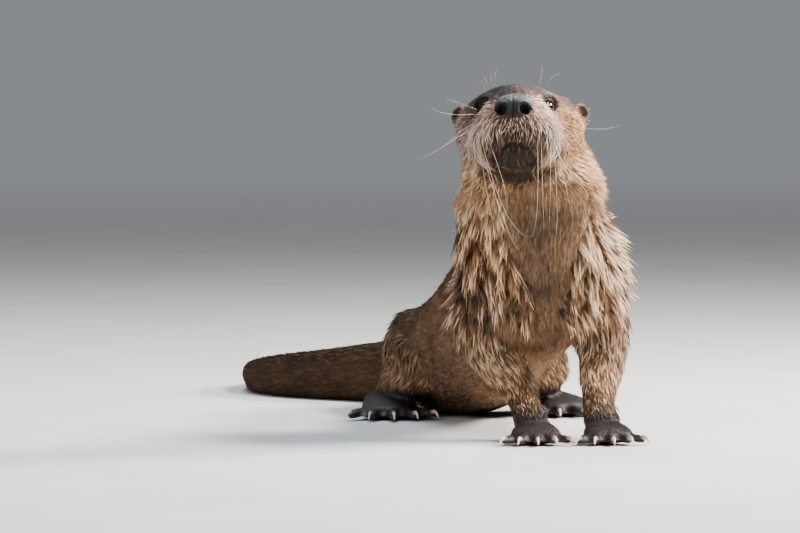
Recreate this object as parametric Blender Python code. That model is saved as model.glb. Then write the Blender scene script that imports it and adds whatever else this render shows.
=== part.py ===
"""Life-size river otter, sitting up on its straight forelegs with the head raised.  Metres, +Z up.
The chest and head face -Y, the animal's own right side is at -X, and the floor is z = 0."""
import math
import bpy
import bmesh
import numpy as np
from mathutils import Matrix, Vector

for old in list(bpy.data.objects):
    bpy.data.objects.remove(old)

# ---------------------------------------------------------------- driving sizes
CM = 0.01
HEAD_PITCH = 16.0          # degrees, nose up
HEAD_YAW = -3.3            # degrees, nose towards the animal's own right
HEAD_ROLL = -1.2
HEAD_AT = Vector((-0.014, -0.030, 0.248))   # middle of the skull, between the ears
EYE_R = 0.0064
EYE_AT = (4.60, 2.18, 0.00)                 # cm: forward, sideways, up in the head's own axes


# ---------------------------------------------------------------- small tools
def spline(rows, n):
    """Natural cubic spline through the rows, by chord length of their first three columns: n rows evenly spaced."""
    p = np.array(rows, float)
    t = np.concatenate([[0], np.cumsum(np.linalg.norm(np.diff(p[:, :3], axis=0), axis=1))])
    m = len(t)
    h = np.diff(t)
    a = np.zeros((m, m))
    b = np.zeros((m, p.shape[1]))
    a[0, 0] = a[-1, -1] = 1
    for i in range(1, m - 1):
        a[i, i - 1], a[i, i], a[i, i + 1] = h[i - 1], 2 * (h[i - 1] + h[i]), h[i]
        b[i] = 6 * ((p[i + 1] - p[i]) / h[i] - (p[i] - p[i - 1]) / h[i - 1])
    s = np.linalg.solve(a, b)
    at = np.linspace(0, t[-1], n)
    k = np.clip(np.searchsorted(t, at, side="right") - 1, 0, m - 2)
    hk, d0, d1 = h[k][:, None], (at - t[k])[:, None], (t[k + 1] - at)[:, None]
    return (s[k] * d1**3 + s[k + 1] * d0**3) / (6 * hk) + (p[k] / hk - s[k] * hk / 6) * d1 + (p[k + 1] / hk - s[k + 1] * hk / 6) * d0


def loft(name, rows, up=(0, 0, 1), rings=48, sides=40, square=2.2, round_ends=True, steps=(0.35, 0.65, 0.88)):
    """A closed tube through rows of (x, y, z, half width, height above, depth below), its dorsal side carried along from up."""
    r = spline(rows, rings)
    c = r[:, :3]
    tan = np.gradient(c, axis=0)
    tan /= np.linalg.norm(tan, axis=1)[:, None]
    bm = bmesh.new()
    dorsal = Vector(up)
    loops = []
    ang = np.linspace(0, 2 * math.pi, sides, endpoint=False)
    for i in range(rings):
        t = Vector(tan[i])
        dorsal = (dorsal - t * dorsal.dot(t)).normalized()
        side = t.cross(dorsal).normalized()
        w, hi, lo = r[i, 3:6]
        taper = r[i, 6] if r.shape[1] > 6 else 0.0
        ring = []
        for q in ang:
            cq, sq = math.cos(q), math.sin(q)
            k = (abs(cq) ** square + abs(sq) ** square) ** (-1 / square)
            ring.append(bm.verts.new(Vector(c[i]) + side * (w * k * cq * (1 + taper * k * sq)) + dorsal * ((hi if sq > 0 else lo) * k * sq)))
        loops.append(ring)
    for one, two in zip(loops, loops[1:]):
        for j in range(sides):
            bm.faces.new((one[j], one[(j + 1) % sides], two[(j + 1) % sides], two[j]))
    for ring, at, t, sign in ((loops[0], c[0], tan[0], -1), (loops[-1], c[-1], tan[-1], 1)):
        reach = min(r[0 if sign < 0 else -1, 3:6]) * (0.6 if round_ends else 0.02)
        rim = ring
        centre, ahead = Vector(at), Vector(t) * sign
        for step in steps:
            shrink = math.sqrt(1 - step**2)
            inner = [bm.verts.new(centre + (v.co - centre) * shrink / 1.0 + ahead * (reach * step)) for v in ring]
            for j in range(sides):
                f = (rim[j], rim[(j + 1) % sides], inner[(j + 1) % sides], inner[j])
                bm.faces.new(f if sign > 0 else f[::-1])
            rim = inner
        tip = bm.verts.new(centre + ahead * reach)
        for j in range(sides):
            f = (rim[j], rim[(j + 1) % sides], tip)
            bm.faces.new(f if sign > 0 else f[::-1])
    bmesh.ops.recalc_face_normals(bm, faces=bm.faces)
    return finish(name, bm)


def finish(name, bm):
    me = bpy.data.meshes.new(name)
    bm.to_mesh(me)
    bm.free()
    ob = bpy.data.objects.new(name, me)
    bpy.context.scene.collection.objects.link(ob)
    return ob


def ball(name, at, radii, turn=None, seg=32):
    """An ellipsoid with half axes radii at a point, turned by a matrix."""
    bm = bmesh.new()
    bmesh.ops.create_uvsphere(bm, u_segments=seg, v_segments=seg // 2, radius=1)
    m = Matrix.Translation(Vector(at)) @ (turn.to_4x4() if turn else Matrix.Identity(4)) @ Matrix.Diagonal((*radii, 1))
    bmesh.ops.transform(bm, matrix=m, verts=bm.verts)
    return finish(name, bm)


def merge(name, obs, voxel, smooth=0, factor=0.5):
    """The obs as one skin: joined, remeshed at that voxel, and smoothed where they meet."""
    bm = bmesh.new()
    for o in obs:
        bm.from_mesh(o.data)
        bpy.data.objects.remove(o)
    whole = finish(name, bm)
    m = whole.modifiers.new("union", "REMESH")
    m.mode, m.voxel_size, m.adaptivity = "VOXEL", voxel, 0
    if smooth:
        s = whole.modifiers.new("soften", "SMOOTH")
        s.factor, s.iterations = factor, smooth
    return applied(whole)


def applied(ob):
    graph = bpy.context.evaluated_depsgraph_get()
    graph.update()
    me = bpy.data.meshes.new_from_object(ob.evaluated_get(graph), depsgraph=graph)
    ob.modifiers.clear()
    ob.data = me
    return ob


# ---------------------------------------------------------------- head axes
HEAD_TURN = (Matrix.Rotation(math.radians(HEAD_YAW), 3, "Z") @ Matrix.Rotation(math.radians(-HEAD_PITCH), 3, "X") @ Matrix.Rotation(math.radians(HEAD_ROLL), 3, "Y"))


def head_point(f, r, u):
    """A point of the head, in cm forward, sideways (+ is the animal's left) and up."""
    return HEAD_AT + HEAD_TURN @ Vector((r, -f, u)) * CM


def head_ball(name, f, r, u, rf, rr, ru, yaw=0.0, pitch=0.0, roll=0.0):
    turn = HEAD_TURN @ Matrix.Rotation(math.radians(yaw), 3, "Z") @ Matrix.Rotation(math.radians(pitch), 3, "X") @ Matrix.Rotation(math.radians(roll), 3, "Y")
    return ball(name, head_point(f, r, u), (rr * CM, rf * CM, ru * CM), turn)


def head_rows(rows):
    """(forward, top, middle, bottom, half width, taper) in cm to world rows. A negative taper narrows the top."""
    return [(*head_point(f, 0, mid), w * CM, (top - mid) * CM, (mid - low) * CM, k) for f, top, mid, low, w, k in rows]


HEAD_ROWS = [  # forward, crown, middle, throat, half width, taper
    (-3.9, 0.2, -1.5, -3.7, 3.1, 0.0),
    (-2.7, 1.55, -1.3, -4.5, 4.50, 0.07),
    (-1.0, 2.14, -1.2, -4.9, 4.96, 0.11),
    (1.0, 2.28, -1.4, -4.95, 5.00, 0.12),
    (2.8, 2.20, -1.5, -4.95, 4.66, 0.10),
    (4.0, 2.02, -1.6, -4.95, 4.18, -0.02),
    (5.0, 1.74, -1.8, -4.85, 3.70, -0.26),
    (6.0, 1.40, -1.9, -4.60, 3.36, -0.33),
    (6.9, 1.06, -1.95, -4.15, 3.08, -0.34),
    (7.6, 0.80, -1.90, -3.5, 2.70, -0.32),
    (8.1, 0.54, -1.75, -2.8, 2.1, -0.26),
]


def make_head():
    up = HEAD_TURN @ Vector((0, 0, 1))
    got = [loft("skull", head_rows(HEAD_ROWS), up=up, rings=80, sides=64, square=2.25),
           head_ball("nose", 8.45, 0, -0.80, 1.0, 1.48, 0.89),
           head_ball("lip", 7.75, 0, -2.0, 1.2, 1.3, 0.85),
           head_ball("chin", 5.9, 0, -4.05, 1.8, 1.75, 0.95, pitch=-12),
           head_ball("throat", 1.2, 0, -4.4, 4.2, 3.9, 1.9, pitch=-14)]
    for s in (-1, 1):
        got += [
            head_ball("pad", 6.9, 1.45 * s, -2.10, 1.6, 1.55, 1.25),
            head_ball("flew", 6.05, 2.05 * s, -3.05, 1.6, 1.05, 1.35, yaw=18 * s),
            head_ball("brow", 3.75, 2.10 * s, 0.74, 1.6, 1.25, 0.72, yaw=14 * s),
            head_ball("temple", 0.9, (2.72 if s > 0 else 2.50) * s, 1.06, 2.6, 1.62, 0.90, yaw=4 * s),
        ]
    head = merge("head", got, 0.0014, 8)
    # the hollow that each eye sits in, ahead of the brow and beside the bridge
    for s in (-1, 1):
        f, r, u = EYE_AT
        pit = head_ball("pit", f + 0.86, (r + 0.30) * s, u + 0.02, 0.74, 0.62, 0.54, yaw=35 * s)
        cut = head.modifiers.new("pit", "BOOLEAN")
        cut.operation, cut.object = "DIFFERENCE", pit
        applied(head)
        bpy.data.objects.remove(pit)
    return head


def make_ears():
    """Small round ears low on the sides of the head: a cup on a broad root, open forwards and out, with a fold in its mouth."""
    got = []
    for s in (-1, 1):
        turn = HEAD_TURN @ Matrix.Rotation(math.radians(34 * s), 3, "Z") @ Matrix.Rotation(math.radians(-6), 3, "X") @ Matrix.Rotation(math.radians(12 * s), 3, "Y")
        at = head_point(-0.25, 4.60 * s, 0.74)
        shell = ball("ear", at, (0.0084, 0.0056, 0.0092), turn, seg=18)
        for name, off, radii in (("root", (-0.0046 * s, 0.0010, -0.0026), (0.0092, 0.0082, 0.0104)),):
            more = ball(name, at + turn @ Vector(off), radii, turn, seg=16)
            m = shell.modifiers.new(name, "BOOLEAN")
            m.operation, m.object = "UNION", more
            applied(shell)
            bpy.data.objects.remove(more)
        hollow = ball("bowl", at + turn @ Vector((0.0008 * s, -0.0062, 0.0014)), (0.0046, 0.0062, 0.0050), turn, seg=14)
        cut = shell.modifiers.new("bowl", "BOOLEAN")
        cut.operation, cut.object = "DIFFERENCE", hollow
        applied(shell)
        bpy.data.objects.remove(hollow)
        got.append(shell)
    return got


# ---------------------------------------------------------------- trunk, neck, tail and limbs
SPINE = [  # x, y, z, half width, above, below: tail root to the skull
    (-0.090, 0.405, 0.034, 0.031, 0.028, 0.034),   # tail root
    (-0.078, 0.365, 0.043, 0.050, 0.039, 0.045),   # rump
    (-0.062, 0.310, 0.052, 0.061, 0.048, 0.054),   # hips
    (-0.045, 0.230, 0.069, 0.059, 0.052, 0.056),   # loin
    (-0.025, 0.145, 0.094, 0.060, 0.055, 0.057),   # waist
    (-0.006, 0.072, 0.120, 0.062, 0.059, 0.061),   # ribs
    (0.002, 0.014, 0.144, 0.0680, 0.060, 0.062),    # shoulders
    (-0.0075, -0.018, 0.174, 0.0605, 0.060, 0.055),  # root of the neck
    (-0.0072, -0.0285, 0.2035, 0.0560, 0.056, 0.050), # neck
    (-0.0162, -0.032, 0.232, 0.0448, 0.050, 0.043), # nape
    (-0.014, -0.030, 0.254, 0.036, 0.034, 0.032),
]
TAIL = [
    (-0.076, 0.370, 0.043, 0.036, 0.031, 0.038),
    (-0.096, 0.415, 0.035, 0.0320, 0.0285, 0.0365),
    (-0.138, 0.455, 0.0285, 0.0285, 0.0255, 0.0300),
    (-0.186, 0.488, 0.0240, 0.0250, 0.0220, 0.0255),
    (-0.228, 0.532, 0.0200, 0.0215, 0.0185, 0.0215),
    (-0.248, 0.590, 0.0160, 0.0175, 0.0150, 0.0175),
    (-0.249, 0.648, 0.0120, 0.0130, 0.0110, 0.0133),
    (-0.236, 0.700, 0.0080, 0.0075, 0.0065, 0.0090),
]
HIP = Vector((-0.062, 0.310, 0.0))
HIP_AHEAD = Vector((0.24, -0.971, 0.0)).normalized()


def hip_point(ahead, out, z, s):
    """A point by the hips: ahead and out in metres, s -1 for the animal's right, 1 for its left."""
    side = Vector((-HIP_AHEAD.y, HIP_AHEAD.x, 0))
    return HIP + HIP_AHEAD * ahead + side * (out * s) + Vector((0, 0, z))


FORELEG = {
    -1: [(-0.034, 0.014, 0.150, 0.026, 0.028, 0.028), (-0.042, 0.012, 0.118, 0.028, 0.034, 0.032), (-0.040, 0.020, 0.083, 0.0255, 0.028, 0.027),
         (-0.0255, 0.018, 0.057, 0.0205, 0.021, 0.021), (-0.0130, 0.004, 0.037, 0.0150, 0.0155, 0.0155), (-0.0075, -0.008, 0.022, 0.0148, 0.0125, 0.0130), (-0.0040, -0.018, 0.0150, 0.0185, 0.0100, 0.0130)],
    1: [(0.034, 0.014, 0.150, 0.026, 0.028, 0.028), (0.044, 0.012, 0.118, 0.028, 0.034, 0.032), (0.049, 0.020, 0.083, 0.024, 0.027, 0.026),
        (0.049, 0.020, 0.057, 0.0200, 0.021, 0.021), (0.0475, 0.007, 0.037, 0.0150, 0.0150, 0.0150), (0.0480, -0.004, 0.022, 0.0150, 0.0125, 0.0130), (0.0500, -0.014, 0.0150, 0.0185, 0.0100, 0.0130)],
}
FOREPAW = {-1: (Vector((-0.0030, -0.0205, 0)), 4.0), 1: (Vector((0.0510, -0.0165, 0)), 10.0)}   # heel of the palm, heading in degrees
HINDPAW_OUT = 8.0


def make_paw(name, heel, heading, length, width, toe, toe_len, s, fan=30.0, high=0.011):
    """Palm and five webbed toes. heel is the back of the palm, heading its turn from straight ahead (-Y)."""
    turn = Matrix.Rotation(math.radians(heading), 3, "Z")

    def at(x, y, z):
        return heel + turn @ Vector((x, -y, 0)) + Vector((0, 0, z))

    rows = [(*at(0, -0.006, high), width * 0.34, 0.010, high), (*at(0, length * 0.35, high * 0.95), width * 0.42, 0.0085, high), (*at(0, length * 0.8, high * 0.8), width * 0.47, 0.0065, high * 0.85), (*at(0, length, high * 0.7), width * 0.44, 0.0045, high * 0.7)]
    got = [loft("palm", rows, rings=16, sides=24, square=2.4)]
    claws = []
    for i in range(5):
        k = i - 2
        a = math.radians(fan * k / 2)
        root = Vector((width * 0.20 * k, length * (0.92 - 0.07 * abs(k)), 0))
        reach = toe_len * (1.0 - 0.09 * abs(k - 0.25 * s))
        way = Vector((math.sin(a), math.cos(a), 0))
        p = [root + way * (reach * q) for q in (-0.35, 0.35, 0.8, 1.0)]
        z = (toe * 0.95, toe * 1.30, toe * 1.12, toe * 0.95)
        got.append(loft("toe", [(*at(q.x, q.y, h), toe * g, toe * g, toe * g * 1.0) for q, h, g in zip(p, z, (1.0, 0.98, 1.0, 0.80))], rings=10, sides=14, square=2.0))
        tip = root + way * (reach * 1.0)
        end = root + way * (reach * 1.0 + toe * 1.60)
        claws.append((at(tip.x, tip.y, toe * 1.45), at(end.x, end.y, toe * 0.62), at((tip.x + end.x) / 2, (tip.y + end.y) / 2, toe * 1.52)))
        if i < 4:   # web to the next toe
            a2 = math.radians(fan * (k + 0.5) / 2)
            way2 = Vector((math.sin(a2), math.cos(a2), 0))
            r2 = Vector((width * 0.20 * (k + 0.5), length * 0.88, 0))
            q0, q1 = r2, r2 + way2 * (toe_len * 0.50)
            got.append(loft("web", [(*at(q0.x, q0.y, toe * 0.9), toe * 1.1, toe * 0.5, toe * 0.6), (*at((q0.x + q1.x) / 2, (q0.y + q1.y) / 2, toe * 0.85), toe * 1.15, toe * 0.42, toe * 0.5), (*at(q1.x, q1.y, toe * 0.8), toe * 1.0, toe * 0.32, toe * 0.4)], rings=6, sides=12, square=2.6))
    return got, claws


def make_body():
    torso = [loft("torso", SPINE, rings=90, sides=56, square=2.15), loft("tail", TAIL, rings=60, sides=36, square=2.2)]
    # chest keel, shoulder blades and withers
    torso.append(ball("brisket", (0.001, -0.002, 0.116), (0.050, 0.040, 0.050)))
    for s in (-1, 1):
        rows = FORELEG[s]
        torso.append(loft("foreleg", rows, up=(0, 1, 0), rings=40, sides=28, square=2.1))
        torso.append(ball("shoulder", (0.036 * s, 0.014, 0.138), (0.030, 0.040, 0.038)))
        thigh = [(*hip_point(-0.030, 0.030, 0.054, s), 0.030, 0.035, 0.040), (*hip_point(0.018, 0.042, 0.055, s), 0.031, 0.038, 0.044), (*hip_point(0.066, 0.050, 0.050, s), 0.024, 0.031, 0.032)]
        torso.append(loft("thigh", thigh, rings=24, sides=28, square=2.1))
        shank = [(*hip_point(0.062, 0.055, 0.045, s), 0.021, 0.024, 0.024), (*hip_point(0.030, 0.061, 0.030, s), 0.017, 0.019, 0.018), (*hip_point(0.004, 0.064, 0.020, s), 0.014, 0.014, 0.014)]
        torso.append(loft("shank", shank, rings=20, sides=24, square=2.1))
    return merge("torso", torso, 0.0035, 14)


def make_feet():
    got, claws = [], []
    for s in (-1, 1):
        heel, heading = FOREPAW[s]
        shapes, c = make_paw("forepaw", heel, heading, 0.024, 0.043, 0.0042, 0.017, s, fan=34, high=0.0105)
        got += shapes
        claws += [(p, 0.0017) for p in c]
        heel = hip_point(0.000, 0.067, 0, s)
        head = math.degrees(math.atan2(HIP_AHEAD.x, -HIP_AHEAD.y)) + HINDPAW_OUT * s
        shapes, c = make_paw("hindpaw", heel, head, 0.066, 0.050, 0.0048, 0.032, s, fan=32, high=0.0118)
        got += shapes
        claws += [(p, 0.0016) for p in c]
    return merge("feet", got, 0.0013, 2), claws


def make_claws(claws):
    """A curved horn on each toe, round at the root and pointed."""
    got = []
    for (root, tip, mid), r in claws:
        back = root + (root - mid).normalized() * 0.0022
        rows = [(*back, r, r * 1.15, r * 1.15), (*mid, r * 0.74, r * 0.9, r * 0.9), (*tip, r * 0.26, r * 0.3, r * 0.3)]
        got.append(loft("claw", rows, rings=4, sides=6, square=2.0, steps=(0.7,)))
    return got


# ---------------------------------------------------------------- the animal whole, then parted
GAP = 0.0006                      # width of each parting cut
AT_ORIGIN = Vector((0.08975, -0.28970, 0.0))   # brings the middle of the box's bottom to the origin
TRIANGLES = 5000

torso = merge("torso", [make_body(), make_head()], 0.0020, 8)
feet, claw_at = make_feet()
whole = merge("whole", [torso, feet], 0.0017, 2)
thin = whole.modifiers.new("thin", "DECIMATE")
whole.data.calc_loop_triangles()
thin.ratio = TRIANGLES / len(whole.data.loop_triangles)
applied(whole)
ears = make_ears()
claw_shapes = make_claws(claw_at)


def boolean(ob, other, how):
    m = ob.modifiers.new("cut", "BOOLEAN")
    m.operation, m.object, m.solver = how, other, "EXACT"
    return applied(ob)


def floor_flat(ob, z=0.0002):
    """The flat that the model rests on: all below z cut away."""
    bm = bmesh.new()
    bm.from_mesh(ob.data)
    hit = bmesh.ops.bisect_plane(bm, geom=bm.verts[:] + bm.edges[:] + bm.faces[:], plane_co=(0, 0, z), plane_no=(0, 0, -1), clear_outer=True)
    edges = [e for e in hit["geom_cut"] if isinstance(e, bmesh.types.BMEdge)]
    bmesh.ops.triangle_fill(bm, edges=edges, use_beauty=True)
    bmesh.ops.recalc_face_normals(bm, faces=bm.faces)
    bm.to_mesh(ob.data)
    bm.free()
    return ob


def region(name, planes, reach=1.2):
    """The convex room behind all of the planes, each a point and a normal that faces out of it."""
    bm = bmesh.new()
    bmesh.ops.create_cube(bm, size=2 * reach)
    for at, out in planes:
        hit = bmesh.ops.bisect_plane(bm, geom=bm.verts[:] + bm.edges[:] + bm.faces[:], plane_co=at, plane_no=out, clear_outer=True)
        edges = [e for e in hit["geom_cut"] if isinstance(e, bmesh.types.BMEdge)]
        if edges:
            bmesh.ops.contextual_create(bm, geom=edges)
    bmesh.ops.recalc_face_normals(bm, faces=bm.faces)
    return finish(name, bm)


def biggest(ob):
    """Only the largest shell of the mesh."""
    bm = bmesh.new()
    bm.from_mesh(ob.data)
    bm.verts.ensure_lookup_table()
    seen, shells = set(), []
    for v in bm.verts:
        if v.index in seen:
            continue
        stack, shell = [v], []
        seen.add(v.index)
        while stack:
            a = stack.pop()
            shell.append(a)
            for e in a.link_edges:
                b = e.other_vert(a)
                if b.index not in seen:
                    seen.add(b.index)
                    stack.append(b)
        shells.append(shell)
    shells.sort(key=len)
    for shell in shells[:-1]:
        bmesh.ops.delete(bm, geom=shell, context="VERTS")
    bm.to_mesh(ob.data)
    bm.free()
    return ob


def take(name, planes):
    """Parts the room behind the planes from the whole body: the node keeps to it, less half a gap, and the rest keeps out."""
    global whole
    node = bpy.data.objects.new(name, whole.data.copy())
    bpy.context.scene.collection.objects.link(node)
    inner = region("inner", [(Vector(p) - Vector(n).normalized() * GAP / 2, n) for p, n in planes])
    outer = region("outer", [(Vector(p) + Vector(n).normalized() * GAP / 2, n) for p, n in planes])
    boolean(node, inner, "INTERSECT")
    boolean(whole, outer, "DIFFERENCE")
    bpy.data.objects.remove(inner)
    bpy.data.objects.remove(outer)
    return biggest(node)


def head_way(f, r, u):
    return HEAD_TURN @ Vector((r, -f, u))


floor_flat(whole)
nodes = {}
# tail, in three lengths, from the tip back
for name, at, way in (
    ("tail_tip", (-0.2495, 0.600, 0.015), (0.02, -1.0, 0.06)),
    ("tail_mid", (-0.170, 0.478, 0.025), (0.80, -0.58, 0.06)),
    ("tail_base", (-0.096, 0.405, 0.035), (0.42, -0.90, 0.10)),
):
    nodes[name] = take(name, [(at, way)])
# paws across the wrist and the ankle, then the legs above them
for s, side in ((-1, "right"), (1, "left")):
    x = (-0.009, 0.0475)[s > 0]
    nodes["forepaw_" + side] = take("forepaw_" + side, [((x, -0.004, 0.026), (0.10 * s, 0.55, 0.83)), ((0.0225, 0, 0), (-s, 0, 0)), ((0, 0.03, 0), (0, 1, 0))])
    nodes["foreleg_" + side] = take("foreleg_" + side, [((0.046 * s, 0.018, 0.090), (-0.62 * s, 0.10, 0.78)), ((0, 0.047, 0.070), (0, 1, 0.35)), ((0.0225, 0, 0), (-s, 0, 0))])
for s, side in ((-1, "right"), (1, "left")):
    out = Vector((-HIP_AHEAD.y, HIP_AHEAD.x, 0)) * s
    ankle = hip_point(0.012, 0.067, 0.022, s)
    nodes["hindpaw_" + side] = take("hindpaw_" + side, [(ankle, -HIP_AHEAD + Vector((0, 0, 0.62))), (hip_point(0, 0.043, 0, s), -out), (hip_point(0, 0.067, 0.0285, s), Vector((0, 0, 1)) - out * 0.5)])
    nodes["hindleg_" + side] = take("hindleg_" + side, [(hip_point(0, 0.046, 0.05, s), -out + Vector((0, 0, 0.25))), (hip_point(0.105, 0, 0, s), HIP_AHEAD + Vector((0, 0, 0.3))), (hip_point(-0.056, 0, 0, s), Vector((0, 0, 0.35)) - HIP_AHEAD)])
# head across the nape and throat, neck across the shoulders and the root of the chest
nodes["head"] = take("head", [((-0.014, -0.030, 0.212), (0, 0.36, -0.93))])
nodes["neck"] = take("neck", [((0, -0.018, 0.166), (0, 0.20, -0.98))])
whole.name = "trunk"
nodes["trunk"] = biggest(whole)

# ears set against the head, and eyes in open sockets
for ear, side in zip(ears, ("right", "left")):
    swell = bpy.data.objects.new("swell", nodes["head"].data.copy())
    bpy.context.scene.collection.objects.link(swell)
    m = swell.modifiers.new("swell", "DISPLACE")
    m.strength, m.mid_level, m.direction = 0.0004, 0.0, "NORMAL"
    applied(swell)
    boolean(ear, swell, "DIFFERENCE")
    bpy.data.objects.remove(swell)
    ear.name = "ear_" + side
    nodes[ear.name] = biggest(ear)
for s, side in ((-1, "right"), (1, "left")):
    f, r, u = EYE_AT
    at = head_point(f, r * s, u)
    socket = ball("socket", at, (EYE_R + 0.0004,) * 3, seg=20)
    boolean(nodes["head"], socket, "DIFFERENCE")
    bpy.data.objects.remove(socket)
    biggest(nodes["head"])
    nodes["eye_" + side] = ball("eye_" + side, at, (EYE_R,) * 3, seg=14)
# claws grown into their paws
paws = ["forepaw_right", "hindpaw_right", "forepaw_left", "hindpaw_left"]
for i, claw in enumerate(claw_shapes):
    paw = nodes[paws[i // 5]]
    boolean(paw, claw, "UNION")
    bpy.data.objects.remove(claw)


def material(name, rgb, rough):
    m = bpy.data.materials.new(name)
    m.use_nodes = True
    b = m.node_tree.nodes["Principled BSDF"]
    b.inputs["Base Color"].default_value = (*rgb, 1)
    b.inputs["Roughness"].default_value = rough
    return m


COLOURS = {"head": (0.115, 0.075, 0.048), "neck": (0.30, 0.19, 0.11), "trunk": (0.095, 0.060, 0.035), "tail": (0.060, 0.038, 0.024), "foreleg": (0.13, 0.082, 0.050),
           "forepaw": (0.060, 0.045, 0.036), "hindleg": (0.085, 0.054, 0.032), "hindpaw": (0.060, 0.045, 0.036), "ear": (0.10, 0.066, 0.043), "eye": (0.012, 0.008, 0.006)}
for name, ob in nodes.items():
    kind = name.split("_")[0]
    ob.data.materials.clear()
    ob.data.materials.append(material(name, COLOURS[kind], 0.08 if kind == "eye" else 0.62))
    ob.data.transform(Matrix.Translation(AT_ORIGIN))
    me = ob.data
    bm = bmesh.new()
    bm.from_mesh(me)
    bmesh.ops.remove_doubles(bm, verts=bm.verts, dist=0.00002)
    bmesh.ops.triangulate(bm, faces=bm.faces)
    bm.to_mesh(me)
    bm.free()
    me.transform(Matrix.Translation((0, 0, -0.0002)))
    me.shade_smooth()
    me.update()
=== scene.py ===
"""River otter, life size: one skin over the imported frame, a coat of solid tufts, eyes, claws and whiskers."""
import math
import bpy
import bmesh
import numpy as np
from mathutils import Matrix, Vector, kdtree


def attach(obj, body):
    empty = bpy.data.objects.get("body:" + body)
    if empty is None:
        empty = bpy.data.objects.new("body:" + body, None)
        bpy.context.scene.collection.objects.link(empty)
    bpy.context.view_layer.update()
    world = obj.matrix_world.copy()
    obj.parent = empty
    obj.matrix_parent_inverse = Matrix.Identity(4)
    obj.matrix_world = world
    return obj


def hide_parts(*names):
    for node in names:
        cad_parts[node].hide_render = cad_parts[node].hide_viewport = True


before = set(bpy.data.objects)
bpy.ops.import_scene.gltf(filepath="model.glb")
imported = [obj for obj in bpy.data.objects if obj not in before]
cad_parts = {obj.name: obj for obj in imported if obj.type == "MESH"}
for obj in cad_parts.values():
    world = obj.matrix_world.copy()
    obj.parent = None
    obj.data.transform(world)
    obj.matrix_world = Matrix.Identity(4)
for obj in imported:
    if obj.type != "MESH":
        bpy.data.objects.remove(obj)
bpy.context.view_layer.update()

# ---------------------------------------------------------------- driving sizes
CM = 0.01
HEAD_PITCH = 16.0          # degrees, nose up
HEAD_YAW = -3.3            # degrees, nose towards the animal's own right
HEAD_ROLL = -1.2
HEAD_AT = Vector((-0.014, -0.030, 0.248))   # middle of the skull, between the ears
EYE_R = 0.0064
EYE_AT = (4.60, 2.18, 0.00)                 # cm: forward, sideways, up in the head's own axes


# ---------------------------------------------------------------- small tools
def spline(rows, n):
    """Natural cubic spline through the rows, by chord length of their first three columns: n rows evenly spaced."""
    p = np.array(rows, float)
    t = np.concatenate([[0], np.cumsum(np.linalg.norm(np.diff(p[:, :3], axis=0), axis=1))])
    m = len(t)
    h = np.diff(t)
    a = np.zeros((m, m))
    b = np.zeros((m, p.shape[1]))
    a[0, 0] = a[-1, -1] = 1
    for i in range(1, m - 1):
        a[i, i - 1], a[i, i], a[i, i + 1] = h[i - 1], 2 * (h[i - 1] + h[i]), h[i]
        b[i] = 6 * ((p[i + 1] - p[i]) / h[i] - (p[i] - p[i - 1]) / h[i - 1])
    s = np.linalg.solve(a, b)
    at = np.linspace(0, t[-1], n)
    k = np.clip(np.searchsorted(t, at, side="right") - 1, 0, m - 2)
    hk, d0, d1 = h[k][:, None], (at - t[k])[:, None], (t[k + 1] - at)[:, None]
    return (s[k] * d1**3 + s[k + 1] * d0**3) / (6 * hk) + (p[k] / hk - s[k] * hk / 6) * d1 + (p[k + 1] / hk - s[k + 1] * hk / 6) * d0


def loft(name, rows, up=(0, 0, 1), rings=48, sides=40, square=2.2, round_ends=True, steps=(0.35, 0.65, 0.88)):
    """A closed tube through rows of (x, y, z, half width, height above, depth below), its dorsal side carried along from up."""
    r = spline(rows, rings)
    c = r[:, :3]
    tan = np.gradient(c, axis=0)
    tan /= np.linalg.norm(tan, axis=1)[:, None]
    bm = bmesh.new()
    dorsal = Vector(up)
    loops = []
    ang = np.linspace(0, 2 * math.pi, sides, endpoint=False)
    for i in range(rings):
        t = Vector(tan[i])
        dorsal = (dorsal - t * dorsal.dot(t)).normalized()
        side = t.cross(dorsal).normalized()
        w, hi, lo = r[i, 3:6]
        taper = r[i, 6] if r.shape[1] > 6 else 0.0
        ring = []
        for q in ang:
            cq, sq = math.cos(q), math.sin(q)
            k = (abs(cq) ** square + abs(sq) ** square) ** (-1 / square)
            ring.append(bm.verts.new(Vector(c[i]) + side * (w * k * cq * (1 + taper * k * sq)) + dorsal * ((hi if sq > 0 else lo) * k * sq)))
        loops.append(ring)
    for one, two in zip(loops, loops[1:]):
        for j in range(sides):
            bm.faces.new((one[j], one[(j + 1) % sides], two[(j + 1) % sides], two[j]))
    for ring, at, t, sign in ((loops[0], c[0], tan[0], -1), (loops[-1], c[-1], tan[-1], 1)):
        reach = min(r[0 if sign < 0 else -1, 3:6]) * (0.6 if round_ends else 0.02)
        rim = ring
        centre, ahead = Vector(at), Vector(t) * sign
        for step in steps:
            shrink = math.sqrt(1 - step**2)
            inner = [bm.verts.new(centre + (v.co - centre) * shrink / 1.0 + ahead * (reach * step)) for v in ring]
            for j in range(sides):
                f = (rim[j], rim[(j + 1) % sides], inner[(j + 1) % sides], inner[j])
                bm.faces.new(f if sign > 0 else f[::-1])
            rim = inner
        tip = bm.verts.new(centre + ahead * reach)
        for j in range(sides):
            f = (rim[j], rim[(j + 1) % sides], tip)
            bm.faces.new(f if sign > 0 else f[::-1])
    bmesh.ops.recalc_face_normals(bm, faces=bm.faces)
    return finish(name, bm)


def finish(name, bm):
    me = bpy.data.meshes.new(name)
    bm.to_mesh(me)
    bm.free()
    ob = bpy.data.objects.new(name, me)
    bpy.context.scene.collection.objects.link(ob)
    return ob


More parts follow.
